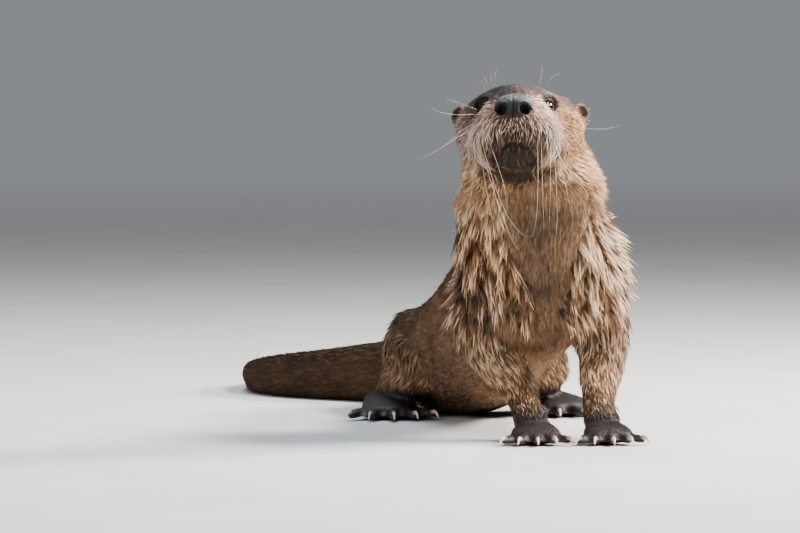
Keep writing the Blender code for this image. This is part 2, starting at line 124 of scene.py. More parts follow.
def ball(name, at, radii, turn=None, seg=32):
    """An ellipsoid with half axes radii at a point, turned by a matrix."""
    bm = bmesh.new()
    bmesh.ops.create_uvsphere(bm, u_segments=seg, v_segments=seg // 2, radius=1)
    m = Matrix.Translation(Vector(at)) @ (turn.to_4x4() if turn else Matrix.Identity(4)) @ Matrix.Diagonal((*radii, 1))
    bmesh.ops.transform(bm, matrix=m, verts=bm.verts)
    return finish(name, bm)


def merge(name, obs, voxel, smooth=0, factor=0.5):
    """The obs as one skin: joined, remeshed at that voxel, and smoothed where they meet."""
    bm = bmesh.new()
    for o in obs:
        bm.from_mesh(o.data)
        bpy.data.objects.remove(o)
    whole = finish(name, bm)
    m = whole.modifiers.new("union", "REMESH")
    m.mode, m.voxel_size, m.adaptivity = "VOXEL", voxel, 0
    if smooth:
        s = whole.modifiers.new("soften", "SMOOTH")
        s.factor, s.iterations = factor, smooth
    return applied(whole)


def applied(ob):
    graph = bpy.context.evaluated_depsgraph_get()
    graph.update()
    me = bpy.data.meshes.new_from_object(ob.evaluated_get(graph), depsgraph=graph)
    ob.modifiers.clear()
    ob.data = me
    return ob


# ---------------------------------------------------------------- head axes
HEAD_TURN = (Matrix.Rotation(math.radians(HEAD_YAW), 3, "Z") @ Matrix.Rotation(math.radians(-HEAD_PITCH), 3, "X") @ Matrix.Rotation(math.radians(HEAD_ROLL), 3, "Y"))


def head_point(f, r, u):
    """A point of the head, in cm forward, sideways (+ is the animal's left) and up."""
    return HEAD_AT + HEAD_TURN @ Vector((r, -f, u)) * CM


def head_ball(name, f, r, u, rf, rr, ru, yaw=0.0, pitch=0.0, roll=0.0):
    turn = HEAD_TURN @ Matrix.Rotation(math.radians(yaw), 3, "Z") @ Matrix.Rotation(math.radians(pitch), 3, "X") @ Matrix.Rotation(math.radians(roll), 3, "Y")
    return ball(name, head_point(f, r, u), (rr * CM, rf * CM, ru * CM), turn)


def head_rows(rows):
    """(forward, top, middle, bottom, half width, taper) in cm to world rows. A negative taper narrows the top."""
    return [(*head_point(f, 0, mid), w * CM, (top - mid) * CM, (mid - low) * CM, k) for f, top, mid, low, w, k in rows]


HEAD_ROWS = [  # forward, crown, middle, throat, half width, taper
    (-3.9, 0.2, -1.5, -3.7, 3.1, 0.0),
    (-2.7, 1.55, -1.3, -4.5, 4.50, 0.07),
    (-1.0, 2.14, -1.2, -4.9, 4.96, 0.11),
    (1.0, 2.28, -1.4, -4.95, 5.00, 0.12),
    (2.8, 2.20, -1.5, -4.95, 4.66, 0.10),
    (4.0, 2.02, -1.6, -4.95, 4.18, -0.02),
    (5.0, 1.74, -1.8, -4.85, 3.70, -0.26),
    (6.0, 1.40, -1.9, -4.60, 3.36, -0.33),
    (6.9, 1.06, -1.95, -4.15, 3.08, -0.34),
    (7.6, 0.80, -1.90, -3.5, 2.70, -0.32),
    (8.1, 0.54, -1.75, -2.8, 2.1, -0.26),
]


def make_head():
    up = HEAD_TURN @ Vector((0, 0, 1))
    got = [loft("skull", head_rows(HEAD_ROWS), up=up, rings=80, sides=64, square=2.25),
           head_ball("nose", 8.45, 0, -0.80, 1.0, 1.48, 0.89),
           head_ball("lip", 7.75, 0, -2.0, 1.2, 1.3, 0.85),
           head_ball("chin", 5.9, 0, -4.05, 1.8, 1.75, 0.95, pitch=-12),
           head_ball("throat", 1.2, 0, -4.4, 4.2, 3.9, 1.9, pitch=-14)]
    for s in (-1, 1):
        got += [
            head_ball("pad", 6.9, 1.45 * s, -2.10, 1.6, 1.55, 1.25),
            head_ball("flew", 6.05, 2.05 * s, -3.05, 1.6, 1.05, 1.35, yaw=18 * s),
            head_ball("brow", 3.75, 2.10 * s, 0.74, 1.6, 1.25, 0.72, yaw=14 * s),
            head_ball("temple", 0.9, (2.72 if s > 0 else 2.50) * s, 1.06, 2.6, 1.62, 0.90, yaw=4 * s),
        ]
    head = merge("head", got, 0.0014, 8)
    # the hollow that each eye sits in, ahead of the brow and beside the bridge
    for s in (-1, 1):
        f, r, u = EYE_AT
        pit = head_ball("pit", f + 0.86, (r + 0.30) * s, u + 0.02, 0.74, 0.62, 0.54, yaw=35 * s)
        cut = head.modifiers.new("pit", "BOOLEAN")
        cut.operation, cut.object = "DIFFERENCE", pit
        applied(head)
        bpy.data.objects.remove(pit)
    return head


def make_ears():
    """Small round ears low on the sides of the head: a cup on a broad root, open forwards and out."""
    got = []
    for s in (-1, 1):
        turn = HEAD_TURN @ Matrix.Rotation(math.radians(34 * s), 3, "Z") @ Matrix.Rotation(math.radians(-6), 3, "X") @ Matrix.Rotation(math.radians(12 * s), 3, "Y")
        at = head_point(-0.25, 4.60 * s, 0.74)
        shell = ball("ear", at, (0.0084, 0.0056, 0.0092), turn, seg=18)
        for name, off, radii in (("root", (-0.0046 * s, 0.0010, -0.0026), (0.0092, 0.0082, 0.0104)),):
            more = ball(name, at + turn @ Vector(off), radii, turn, seg=16)
            m = shell.modifiers.new(name, "BOOLEAN")
            m.operation, m.object = "UNION", more
            applied(shell)
            bpy.data.objects.remove(more)
        hollow = ball("bowl", at + turn @ Vector((0.0008 * s, -0.0062, 0.0014)), (0.0046, 0.0062, 0.0050), turn, seg=14)
        cut = shell.modifiers.new("bowl", "BOOLEAN")
        cut.operation, cut.object = "DIFFERENCE", hollow
        applied(shell)
        bpy.data.objects.remove(hollow)
        got.append(shell)
    return got


# ---------------------------------------------------------------- trunk, neck, tail and limbs
SPINE = [  # x, y, z, half width, above, below: tail root to the skull
    (-0.090, 0.405, 0.034, 0.031, 0.028, 0.034),   # tail root
    (-0.078, 0.365, 0.043, 0.050, 0.039, 0.045),   # rump
    (-0.062, 0.310, 0.052, 0.061, 0.048, 0.054),   # hips
    (-0.045, 0.230, 0.069, 0.059, 0.052, 0.056),   # loin
    (-0.025, 0.145, 0.094, 0.060, 0.055, 0.057),   # waist
    (-0.006, 0.072, 0.120, 0.062, 0.059, 0.061),   # ribs
    (0.002, 0.014, 0.144, 0.0680, 0.060, 0.062),    # shoulders
    (-0.0075, -0.018, 0.174, 0.0605, 0.060, 0.055),  # root of the neck
    (-0.0072, -0.0285, 0.2035, 0.0560, 0.056, 0.050), # neck
    (-0.0162, -0.032, 0.232, 0.0448, 0.050, 0.043), # nape
    (-0.014, -0.030, 0.254, 0.036, 0.034, 0.032),
]
TAIL = [
    (-0.076, 0.370, 0.043, 0.036, 0.031, 0.038),
    (-0.096, 0.415, 0.035, 0.0320, 0.0285, 0.0365),
    (-0.138, 0.455, 0.0285, 0.0285, 0.0255, 0.0300),
    (-0.186, 0.488, 0.0240, 0.0250, 0.0220, 0.0255),
    (-0.228, 0.532, 0.0200, 0.0215, 0.0185, 0.0215),
    (-0.248, 0.590, 0.0160, 0.0175, 0.0150, 0.0175),
    (-0.249, 0.648, 0.0120, 0.0130, 0.0110, 0.0133),
    (-0.236, 0.700, 0.0080, 0.0075, 0.0065, 0.0090),
]
HIP = Vector((-0.062, 0.310, 0.0))
HIP_AHEAD = Vector((0.24, -0.971, 0.0)).normalized()


def hip_point(ahead, out, z, s):
    """A point by the hips: ahead and out in metres, s -1 for the animal's right, 1 for its left."""
    side = Vector((-HIP_AHEAD.y, HIP_AHEAD.x, 0))
    return HIP + HIP_AHEAD * ahead + side * (out * s) + Vector((0, 0, z))


FORELEG = {
    -1: [(-0.034, 0.014, 0.150, 0.026, 0.028, 0.028), (-0.042, 0.012, 0.118, 0.028, 0.034, 0.032), (-0.040, 0.020, 0.083, 0.0255, 0.028, 0.027),
         (-0.0255, 0.018, 0.057, 0.0205, 0.021, 0.021), (-0.0130, 0.004, 0.037, 0.0150, 0.0155, 0.0155), (-0.0075, -0.008, 0.022, 0.0148, 0.0125, 0.0130), (-0.0040, -0.018, 0.0150, 0.0185, 0.0100, 0.0130)],
    1: [(0.034, 0.014, 0.150, 0.026, 0.028, 0.028), (0.044, 0.012, 0.118, 0.028, 0.034, 0.032), (0.049, 0.020, 0.083, 0.024, 0.027, 0.026),
        (0.049, 0.020, 0.057, 0.0200, 0.021, 0.021), (0.0475, 0.007, 0.037, 0.0150, 0.0150, 0.0150), (0.0480, -0.004, 0.022, 0.0150, 0.0125, 0.0130), (0.0500, -0.014, 0.0150, 0.0185, 0.0100, 0.0130)],
}
FOREPAW = {-1: (Vector((-0.0030, -0.0205, 0)), 4.0), 1: (Vector((0.0510, -0.0165, 0)), 10.0)}   # heel of the palm, heading in degrees
HINDPAW_OUT = 8.0


def make_paw(name, heel, heading, length, width, toe, toe_len, s, fan=30.0, high=0.011):
    """Palm and five webbed toes. heel is the back of the palm, heading its turn from straight ahead (-Y)."""
    turn = Matrix.Rotation(math.radians(heading), 3, "Z")

    def at(x, y, z):
        return heel + turn @ Vector((x, -y, 0)) + Vector((0, 0, z))

    rows = [(*at(0, -0.006, high), width * 0.34, 0.010, high), (*at(0, length * 0.35, high * 0.95), width * 0.42, 0.0085, high), (*at(0, length * 0.8, high * 0.8), width * 0.47, 0.0065, high * 0.85), (*at(0, length, high * 0.7), width * 0.44, 0.0045, high * 0.7)]
    got = [loft("palm", rows, rings=16, sides=24, square=2.4)]
    claws = []
    for i in range(5):
        k = i - 2
        a = math.radians(fan * k / 2)
        root = Vector((width * 0.20 * k, length * (0.92 - 0.07 * abs(k)), 0))
        reach = toe_len * (1.0 - 0.09 * abs(k - 0.25 * s))
        way = Vector((math.sin(a), math.cos(a), 0))
        p = [root + way * (reach * q) for q in (-0.35, 0.35, 0.8, 1.0)]
        z = (toe * 0.95, toe * 1.30, toe * 1.12, toe * 0.95)
        got.append(loft("toe", [(*at(q.x, q.y, h), toe * g, toe * g, toe * g * 1.0) for q, h, g in zip(p, z, (1.0, 0.98, 1.0, 0.80))], rings=10, sides=14, square=2.0))
        tip = root + way * (reach * 1.0)
        end = root + way * (reach * 1.0 + toe * 1.60)
        claws.append((at(tip.x, tip.y, toe * 1.45), at(end.x, end.y, toe * 0.62), at((tip.x + end.x) / 2, (tip.y + end.y) / 2, toe * 1.52)))
        if i < 4:   # web to the next toe
            a2 = math.radians(fan * (k + 0.5) / 2)
            way2 = Vector((math.sin(a2), math.cos(a2), 0))
            r2 = Vector((width * 0.20 * (k + 0.5), length * 0.88, 0))
            q0, q1 = r2, r2 + way2 * (toe_len * 0.50)
            got.append(loft("web", [(*at(q0.x, q0.y, toe * 0.9), toe * 1.1, toe * 0.5, toe * 0.6), (*at((q0.x + q1.x) / 2, (q0.y + q1.y) / 2, toe * 0.85), toe * 1.15, toe * 0.42, toe * 0.5), (*at(q1.x, q1.y, toe * 0.8), toe * 1.0, toe * 0.32, toe * 0.4)], rings=6, sides=12, square=2.6))
    return got, claws


def make_body():
    torso = [loft("torso", SPINE, rings=90, sides=56, square=2.15), loft("tail", TAIL, rings=60, sides=36, square=2.2)]
    # chest keel, shoulder blades and withers
    torso.append(ball("brisket", (0.001, -0.002, 0.116), (0.050, 0.040, 0.050)))
    for s in (-1, 1):
        rows = FORELEG[s]
        torso.append(loft("foreleg", rows, up=(0, 1, 0), rings=40, sides=28, square=2.1))
        torso.append(ball("shoulder", (0.036 * s, 0.014, 0.138), (0.030, 0.040, 0.038)))
        thigh = [(*hip_point(-0.030, 0.030, 0.054, s), 0.030, 0.035, 0.040), (*hip_point(0.018, 0.042, 0.055, s), 0.031, 0.038, 0.044), (*hip_point(0.066, 0.050, 0.050, s), 0.024, 0.031, 0.032)]
        torso.append(loft("thigh", thigh, rings=24, sides=28, square=2.1))
        shank = [(*hip_point(0.062, 0.055, 0.045, s), 0.021, 0.024, 0.024), (*hip_point(0.030, 0.061, 0.030, s), 0.017, 0.019, 0.018), (*hip_point(0.004, 0.064, 0.020, s), 0.014, 0.014, 0.014)]
        torso.append(loft("shank", shank, rings=20, sides=24, square=2.1))
    return merge("torso", torso, 0.0035, 14)


def make_feet():
    got, claws = [], []
    for s in (-1, 1):
        heel, heading = FOREPAW[s]
        shapes, c = make_paw("forepaw", heel, heading, 0.024, 0.043, 0.0042, 0.017, s, fan=34, high=0.0105)
        got += shapes
        claws += [(p, 0.0017) for p in c]
        heel = hip_point(0.000, 0.067, 0, s)
        head = math.degrees(math.atan2(HIP_AHEAD.x, -HIP_AHEAD.y)) + HINDPAW_OUT * s
        shapes, c = make_paw("hindpaw", heel, head, 0.066, 0.050, 0.0048, 0.032, s, fan=32, high=0.0118)
        got += shapes
        claws += [(p, 0.0016) for p in c]
    return merge("feet", got, 0.0013, 2), claws



AT_ORIGIN = Vector((0.08975, -0.28970, -0.0002))    # the model's place in the frame
RNG = np.random.default_rng(20)


# ---------------------------------------------------------------- numpy helpers
def unit(v):
    return v / np.maximum(np.linalg.norm(v, axis=-1, keepdims=True), 1e-12)


def smooth(lo, hi, x):
    t = np.clip((np.asarray(x, float) - lo) / (hi - lo), 0, 1)
    return t * t * (3 - 2 * t)


def points_of(me):
    co = np.empty(len(me.vertices) * 3, np.float32)
    me.vertices.foreach_get("co", co)
    return co.reshape(-1, 3).astype(float)


def normals_of(me):
    no = np.empty(len(me.vertices) * 3, np.float32)
    me.vertices.foreach_get("normal", no)
    return no.reshape(-1, 3).astype(float)


def put_points(me, co):
    me.vertices.foreach_set("co", co.astype(np.float32).ravel())
    me.update()


def nearest(p, line, radius=None):
    """Index of the nearest sample of a line for each point, and the distance, in radii of the line there if given."""
    best = np.full(len(p), 1e9)
    index = np.zeros(len(p), int)
    for start in range(0, len(p), 20000):
        d = np.linalg.norm(p[start:start + 20000, None] - line[None], axis=2)
        if radius is not None:
            d = d / radius[None]
        k = d.argmin(1)
        index[start:start + 20000] = k
        best[start:start + 20000] = d[np.arange(len(k)), k]
    return index, best


def noise3(p, scale, seed=0, octaves=3):
    """Smooth value noise of a few octaves at points in metres, about -1 to 1."""
    total = np.zeros(len(p))
    size = 1.0
    for o in range(octaves):
        q = p / scale * 2**o + 17.3 * seed + 5.1 * o
        i = np.floor(q).astype(np.int64)
        f = q - i
        f = f * f * (3 - 2 * f)
        acc = 0
        for dx in (0, 1):
            for dy in (0, 1):
                for dz in (0, 1):
                    h = ((i[:, 0] + dx) * 73856093) ^ ((i[:, 1] + dy) * 19349663) ^ ((i[:, 2] + dz) * 83492791)
                    h = (h ^ (h >> 13)) * 1274126177 & 0x7FFFFFFF
                    v = (h % 65536) / 32768.0 - 1
                    w = (f[:, 0] if dx else 1 - f[:, 0]) * (f[:, 1] if dy else 1 - f[:, 1]) * (f[:, 2] if dz else 1 - f[:, 2])
                    acc = acc + v * w
        total += acc * size
        size *= 0.5
    return total / 1.6


# ---------------------------------------------------------------- body lines that the coat follows
SPINE_S = spline(SPINE, 220)[::-1]                  # skull to tail root
TAIL_S = spline(TAIL, 160)
LEG_S = {s: spline(FORELEG[s], 80) for s in (-1, 1)}
HIND_S = {}
for s in (-1, 1):
    rows = [(*hip_point(-0.004, 0.040, 0.075, s), 0.034), (*hip_point(0.030, 0.046, 0.056, s), 0.034), (*hip_point(0.060, 0.054, 0.044, s), 0.024),
            (*hip_point(0.036, 0.061, 0.030, s), 0.018), (*hip_point(0.010, 0.065, 0.018, s), 0.013)]
    HIND_S[s] = spline(rows, 60)
SHIFT = np.array(AT_ORIGIN)
HEAD_M = np.array(HEAD_TURN)
HEAD_P = np.array(HEAD_AT) + SHIFT
EYE_OUT = (0.78, 0.56, 0.24)                        # where each eye looks, in head axes


def to_head(p):
    """(forward, sideways, up) in cm of points in the frame."""
    q = (p - HEAD_P) @ HEAD_M
    return np.stack([-q[:, 1], q[:, 0], q[:, 2]], 1) / CM


def head_dir(v):
    """A direction given in head axes (forward, sideways, up), in the frame."""
    v = np.atleast_2d(np.asarray(v, float))
    return np.stack([v[:, 1], -v[:, 0], v[:, 2]], 1) @ HEAD_M.T


class Line:
    def __init__(self, rows):
        self.p = rows[:, :3] + SHIFT
        self.r = rows[:, 3].clip(0.006)
        self.t = unit(np.gradient(self.p, axis=0))
        self.s = np.concatenate([[0], np.cumsum(np.linalg.norm(np.diff(self.p, axis=0), axis=1))])


TORSO, TAILL = Line(SPINE_S), Line(TAIL_S)
FORE = {s: Line(LEG_S[s]) for s in (-1, 1)}
HIND = {s: Line(HIND_S[s]) for s in (-1, 1)}
NOSE_AT = np.array(head_point(8.6, 0, -0.9)) + SHIFT


class Where:
    """What the coat needs to know of each surface point: the part it is on, and how the coat lies there."""

    def __init__(self, p, n):
        self.p, self.n = p, n
        h = to_head(p)
        self.h = h
        it, dt = nearest(p, TORSO.p, TORSO.r)
        ia, da = nearest(p, TAILL.p, TAILL.r)
        da = np.where(ia < 8, 9, da)
        legs = []
        for line in (FORE[-1], FORE[1], HIND[-1], HIND[1]):
            legs.append(nearest(p, line.p, line.r))
        self.it, self.ia = it, ia
        self.s = TORSO.s[it]
        self.tail_s = TAILL.s[ia]
        d = [dt, da] + [x[1] for x in legs]
        w = np.exp(-7 * np.stack(d, 1))
        # the upper ends of the legs lie in the trunk: the trunk's lie wins there
        for k, (line, x) in enumerate(zip((FORE[-1], FORE[1], HIND[-1], HIND[1]), legs)):
            low = smooth(0.125, 0.070, p[:, 2]) if k < 2 else smooth(0.075, 0.045, p[:, 2])
            w[:, 2 + k] *= low + 0.02
        w[:, 0] *= 1 + 0 * w[:, 0]
        w /= w.sum(1, keepdims=True)
        flows = [TORSO.t[it], TAILL.t[ia]] + [line.t[x[0]] for line, x in zip((FORE[-1], FORE[1], HIND[-1], HIND[1]), legs)]
        self.w = w
        self.leg = w[:, 2:].max(1)
        self.tail = smooth(0.35, 0.65, w[:, 1])
        self.leg_s = np.stack([line.s[x[0]] / line.s[-1] for line, x in zip((FORE[-1], FORE[1], HIND[-1], HIND[1]), legs)], 1)
        self.leg_k = w[:, 2:].argmax(1)
        self.leg_at = self.leg_s[np.arange(len(p)), self.leg_k]
        flow = sum(w[:, k, None] * f for k, f in enumerate(flows))
        # the wet coat of the neck, chest and shoulders hangs as well as lies back
        hang = smooth(0.10, 0.16, p[:, 2]) * smooth(0.10, 0.0, p[:, 1] + 0.24)
        flow = flow + hang[:, None] * np.array([0, 0, -0.55])
        chest = smooth(-0.2, -0.7, n[:, 1]) * smooth(0.06, 0.10, p[:, 2])
        flow = unit(flow) * (1 - 0.5 * chest[:, None]) + np.array([0, 0, -1.0]) * 0.5 * chest[:, None]
        # on the head the coat runs back from the nose, and down over the lips and cheeks
        self.head = smooth(-3.6, -1.2, h[:, 0]) * smooth(-7.5, -5.2, h[:, 2]) * (p[:, 2] > 0.17)
        away = unit(p - NOSE_AT)
        back = head_dir((-1, 0, 0.0))
        front = smooth(1.5, 6.5, h[:, 0])[:, None]
        under = smooth(-0.3, -2.2, h[:, 2])
        radial = unit(away * (0.35 + 0.65 * front) + back * (1 - front) * 0.65)
        droop = (0.25 + 0.75 * smooth(3.0, 7.0, h[:, 0])) * smooth(-0.2, -1.6, h[:, 2])
        radial = unit(radial + droop[:, None] * np.array([0, 0.05, -0.9]))
        beneath = smooth(-0.35, -0.85, n @ HEAD_M[:, 2])
        radial = unit(radial + back * 1.6 * beneath[:, None])
        flow = unit(unit(flow) * (1 - self.head[:, None]) + radial * self.head[:, None])
        # it parts round the eyes
        for s in (-1, 1):
            c = np.array(head_point(EYE_AT[0], EYE_AT[1] * s, EYE_AT[2])) + SHIFT
            e = p - c
            by = smooth(0.017, 0.0095, np.linalg.norm(e, axis=1))[:, None]
            e = e - n * (e * n).sum(1, keepdims=True)
            e = unit(e)
            flow = flow - e * np.minimum((flow * e).sum(1, keepdims=True), 0) * by + e * 0.45 * by
        flow = flow - n * (flow * n).sum(1, keepdims=True)
        self.flow = unit(flow)
        self.dorsal = (n * 1.0)[:, 2]
        # ears
        self.ear = np.zeros(len(p))
        for s in (-1, 1):
            c = np.array([-0.15, 4.85 * s, 0.78])
            self.ear = np.maximum(self.ear, smooth(1.35, 0.95, np.linalg.norm((h - c) * [1, 1, 0.95], axis=1)) * smooth(4.20, 4.45, h[:, 1] * s))
        # bare nose leather: a wide pad, straight below, with a shallow arch above
        r, u, f = h[:, 1], h[:, 2], h[:, 0]
        self.nose = smooth(1.05, 0.95, (np.abs(r / 1.46) ** 2.5 + np.abs((u + 0.84) / 0.90) ** 2.5) ** (1 / 2.5)) * (f > 7.6)
        self.eye = np.full(len(p), 9.0)
        for s in (-1, 1):
            c = np.array([EYE_AT[0], EYE_AT[1] * s, EYE_AT[2]])
            self.eye = np.minimum(self.eye, np.linalg.norm(h - c, axis=1))
        self.paw = np.zeros(len(p))
        for s in (-1, 1):
            heel = np.array(FOREPAW[s][0]) + SHIFT
            d = np.hypot(p[:, 0] - heel[0], (p[:, 1] - heel[1] + 0.022))
            self.paw = np.maximum(self.paw, smooth(0.056, 0.042, d) * smooth(0.034, 0.014, p[:, 2]))
            heel = np.array(hip_point(0.0, 0.067, 0, s)) + SHIFT
            mid = np.array(hip_point(0.052, 0.072, 0, s)) + SHIFT
            d = np.hypot(p[:, 0] - mid[0], p[:, 1] - mid[1])
            out = (p - np.array(HIP) - SHIFT) @ np.array([-HIP_AHEAD.y, HIP_AHEAD.x, 0]) * s
            self.paw = np.maximum(self.paw, smooth(0.082, 0.066, d) * smooth(0.030, 0.016, p[:, 2]) * smooth(0.038, 0.046, out))
        self.face = smooth(1.0, 4.0, h[:, 0]) * self.head


def lip_line(r):
    """Height of the mouth's line on the muzzle: a deep arch, cm."""
    return -3.35 - 0.33 * np.minimum(np.abs(r), 2.5) ** 2


def jaw_edge(w):
    """1 on the jaw, 0 behind its lower edge, which drops towards the middle."""
    return smooth(-0.0035, 0.0035, w.p[:, 2] - 0.2005 - 0.0030 * np.minimum(np.abs(w.h[:, 1]), 2.6) + 0.0025 * noise3(w.p, 0.006, 14, 2))


def throat(w):
    """The smooth band down the middle of the throat and chest."""
    x, z = w.p[:, 0] - SHIFT[0], w.p[:, 2]
    at = [0.060, 0.074, 0.0995, 0.125, 0.159, 0.180, 0.204, 0.215]
    mid = np.interp(z, at, [0.007, 0.007, 0.006, 0.007, 0.003, 0.005, 0.006, 0.0])
    half = np.interp(z, at, [0.006, 0.0075, 0.011, 0.018, 0.028, 0.032, 0.032, 0.024])
    wobble = 0.12 * noise3(w.p, 0.02, 9, 2)
    return smooth(1.25, 0.80, np.abs(x - mid) / half + wobble) * smooth(-0.15, -0.45, w.n[:, 1]) * smooth(0.055, 0.075, z) * smooth(0.222, 0.212, z)


def coat_depth(w):
    """How deep the coat stands on the skin, in metres."""
    z, y = w.p[:, 2], w.p[:, 1]
    d = np.full(len(z), 0.0046)
    shag = smooth(0.075, 0.12, z) * smooth(-0.14, -0.24, y)           # neck, chest and shoulders
    d = d + 0.0026 * shag * (1 - 0.8 * throat(w))
    d = d * (1 - w.tail) + 0.0034 * w.tail
    low = smooth(0.075, 0.035, z) * smooth(0.5, 0.8, w.leg)
    d = d * (1 - low) + 0.0016 * low
    d = d * (1 - w.head) + 0.0026 * w.head
    face = smooth(2.6, 5.2, w.h[:, 0]) * w.head
    d = d * (1 - face) + 0.0014 * face
    d = d * (1 - w.paw) + 0.0010 * w.paw
    d = d * (1 - w.ear) + 0.0004 * w.ear
    d = d * (1 - w.nose)
    close = smooth(1.4, 0.9, w.eye)
    d = d * (1 - close) + 0.0006 * close
    belly = smooth(-0.5, -0.9, w.n[:, 2]) * smooth(0.05, 0.02, z)
    d = d * (1 - belly) + 0.0012 * belly
    return d


def paleness(w):
    """The otter's markings, 0 dark brown to 1 cream, the same for skin and coat."""
    p, n, h = w.p, w.n, w.h
    x, y, z = p[:, 0] - SHIFT[0], p[:, 1] - SHIFT[1], p[:, 2]
    side = np.abs(n[:, 0])
    pale = 0.42 - 0.20 * smooth(0.0, 0.75, n[:, 2]) + 0.05 * smooth(0.10, 0.04, z)
    under = smooth(0.1, -0.8, n[:, 2]) * (1 - w.leg)
    pale += 0.02 * under
    # the sides and front of the neck, down to the shoulders: golden. The side facing +X (the animal's left) is pushed
    # far paler and the side facing -X a little darker, which is painted sunlight and shade, with less of that paleness
    # where the +X side turns back
    ragged = 0.012 * noise3(p, 0.018, 31, 2)
    neck = smooth(0.052, 0.130, z) * smooth(0.085, -0.005, y + ragged - 0.25 * (z - 0.12))
    nape = smooth(-0.55, 0.50, n[:, 1] + 0.50 * n[:, 2] + 0.25 * noise3(p, 0.012, 34, 2)) * neck
    gold_and_painted_light = (0.57 + 0.40 * smooth(-0.1, 0.8, n[:, 0]) - 0.10 * smooth(-0.5, -0.95, n[:, 0])) * smooth(0.08, 0.17, z) + (0.44 - 0.08 * smooth(0.102, 0.082, z) + 0.18 * smooth(-0.1, 0.8, n[:, 0])) * (1 - smooth(0.08, 0.17, z))
    gold_and_painted_light = gold_and_painted_light - 0.24 * smooth(-0.20, 0.25, n[:, 1]) * smooth(0.2, 0.7, n[:, 0])
    pale = pale * (1 - neck) + gold_and_painted_light * neck
    pale = pale * (1 - nape) + 0.20 * nape
    band = throat(w)
    pale = pale * (1 - band) + (0.355 + 0.07 * smooth(0.0, 0.03, x) - 0.05 * smooth(0.158, 0.180, z)) * band
    # darker low on the chest band between the forelegs: painted shade
    low = band * smooth(0.150, 0.125, z) * smooth(0.095, 0.120, z)
    pale = pale - 0.04 * low
    # head: dark crown, mid cheeks, pale drooping hair round the muzzle, dark under the lips (partly painted shade,
    # below). Crown, cheeks, jowls and muzzle are made paler on the animal's left (+ sideways) than on its right:
    # painted sunlight and shade
    crown = w.head * smooth(-0.7, 0.9, h[:, 2])
    cheek = w.head * (1 - smooth(-0.7, 0.9, h[:, 2]))
    # crown lighter towards the animal's left: painted light
    pale = pale * (1 - crown) + (0.14 + 0.10 * smooth(0.5, 3.5, h[:, 1])) * crown
    # cheeks a little paler on the left and darker on the right: painted light and shade
    pale = pale * (1 - cheek) + (0.45 + 0.03 * np.sign(h[:, 1]) * smooth(1.0, 3.0, np.abs(h[:, 1]))) * cheek
    jowl = w.head * smooth(-1.6, -5.0, h[:, 2] + 1.1 * noise3(p, 0.010, 33, 2)) * smooth(4.6, 3.0, h[:, 0])
    # jowls paler towards the animal's left: painted light
    pale = pale * (1 - jowl) + (0.52 + 0.17 * smooth(0.0, 3.5, h[:, 1])) * jowl
    rear = w.head * smooth(-0.30, 0.45, n[:, 1] + 0.50 * n[:, 2] + 0.25 * noise3(p, 0.012, 34, 2)) * smooth(1.5, -1.5, h[:, 0])
    pale = pale * (1 - rear) + 0.20 * rear
    muzzle = w.head * smooth(4.3, 6.3, h[:, 0]) * smooth(0.4, -0.4, h[:, 2])
    # muzzle a little paler on the animal's left: painted light
    pale = pale * (1 - muzzle) + (0.49 + 0.14 * smooth(0.5, 1.9, np.abs(h[:, 1])) + 0.05 * smooth(0.5, 2.0, h[:, 1])) * muzzle
    # round the animal's right eye darker and round its left eye paler: painted shade on the shaded side of the face
    eyes = smooth(1.5, 0.8, w.eye)
    pale = pale * (1 - eyes) + (0.28 + 0.12 * np.sign(h[:, 1])) * eyes
    # the bridge darker on the animal's right: painted shade
    bridge = w.head * smooth(3.4, 4.8, h[:, 0]) * smooth(-0.9, 0.1, h[:, 2])
    pale = pale - 0.13 * bridge * smooth(0.4, -1.2, h[:, 1])
    # a darker furrow runs down from each eye beside the nose
    for s in (-1, 1):
        d = np.linalg.norm((h - np.array([EYE_AT[0] + 0.95, (EYE_AT[1] - 0.45) * s, EYE_AT[2] - 0.60])) * [0.7, 1.5, 0.8], axis=1)
        pale = pale - 0.17 * w.head * smooth(0.95, 0.25, d + 0.25 * noise3(p, 0.005, 35, 2))
    # dark below the lip line and on the jaw's underside where it faces down: partly the chin's own dark fur and partly
    # painted shade under the lips and jaw
    below = smooth(0.05, 0.40, lip_line(h[:, 1]) - h[:, 2])
    beneath = smooth(-0.30, -0.60, n @ HEAD_M[:, 2]) * smooth(-2.2, -2.9, h[:, 2])
    chin = smooth(2.0, 3.6, h[:, 0]) * np.maximum(below * smooth(3.1, 2.4, np.abs(h[:, 1])), beneath * smooth(3.1, 2.4, np.abs(h[:, 1]))) * jaw_edge(w)
    pale = pale * (1 - chin) + 0.085 * chin
    gullet = throat(w) * w.head * (1 - jaw_edge(w)) * (z < 0.212)
    pale = pale * (1 - gullet) + (0.355 + 0.07 * smooth(0.0, 0.03, x)) * gullet
    # forearms paler low down, on the side facing +X and on the front: painted highlights of wet fur
    legs = smooth(0.4, 0.8, w.leg) * smooth(0.105, 0.06, z) * (w.leg_k < 2)
    pale = pale * (1 - legs) + (0.35 + 0.17 * smooth(0.080, 0.048, z) + 0.09 * smooth(0.0, 0.7, n[:, 0]) + 0.04 * smooth(0.0, -0.7, n[:, 1])) * legs
    wrist = smooth(0.4, 0.8, w.leg) * smooth(0.050, 0.020, z) * (w.leg_k < 2)
    pale = pale * (1 - wrist) + 0.11 * wrist
    pale = pale * (1 - w.tail) + (0.31 - 0.09 * smooth(0.02, 0.16, w.tail_s) - 0.07 * smooth(0.0, 0.7, n[:, 2])) * w.tail
    pale = pale * (1 - w.paw) + 0.035 * w.paw
    pale = pale * (1 - w.ear) + 0.30 * w.ear
    pale = pale + 0.09 * noise3(p, 0.030, 3) + 0.05 * noise3(p, 0.008, 4, 2)
    return np.clip(pale, 0, 1)


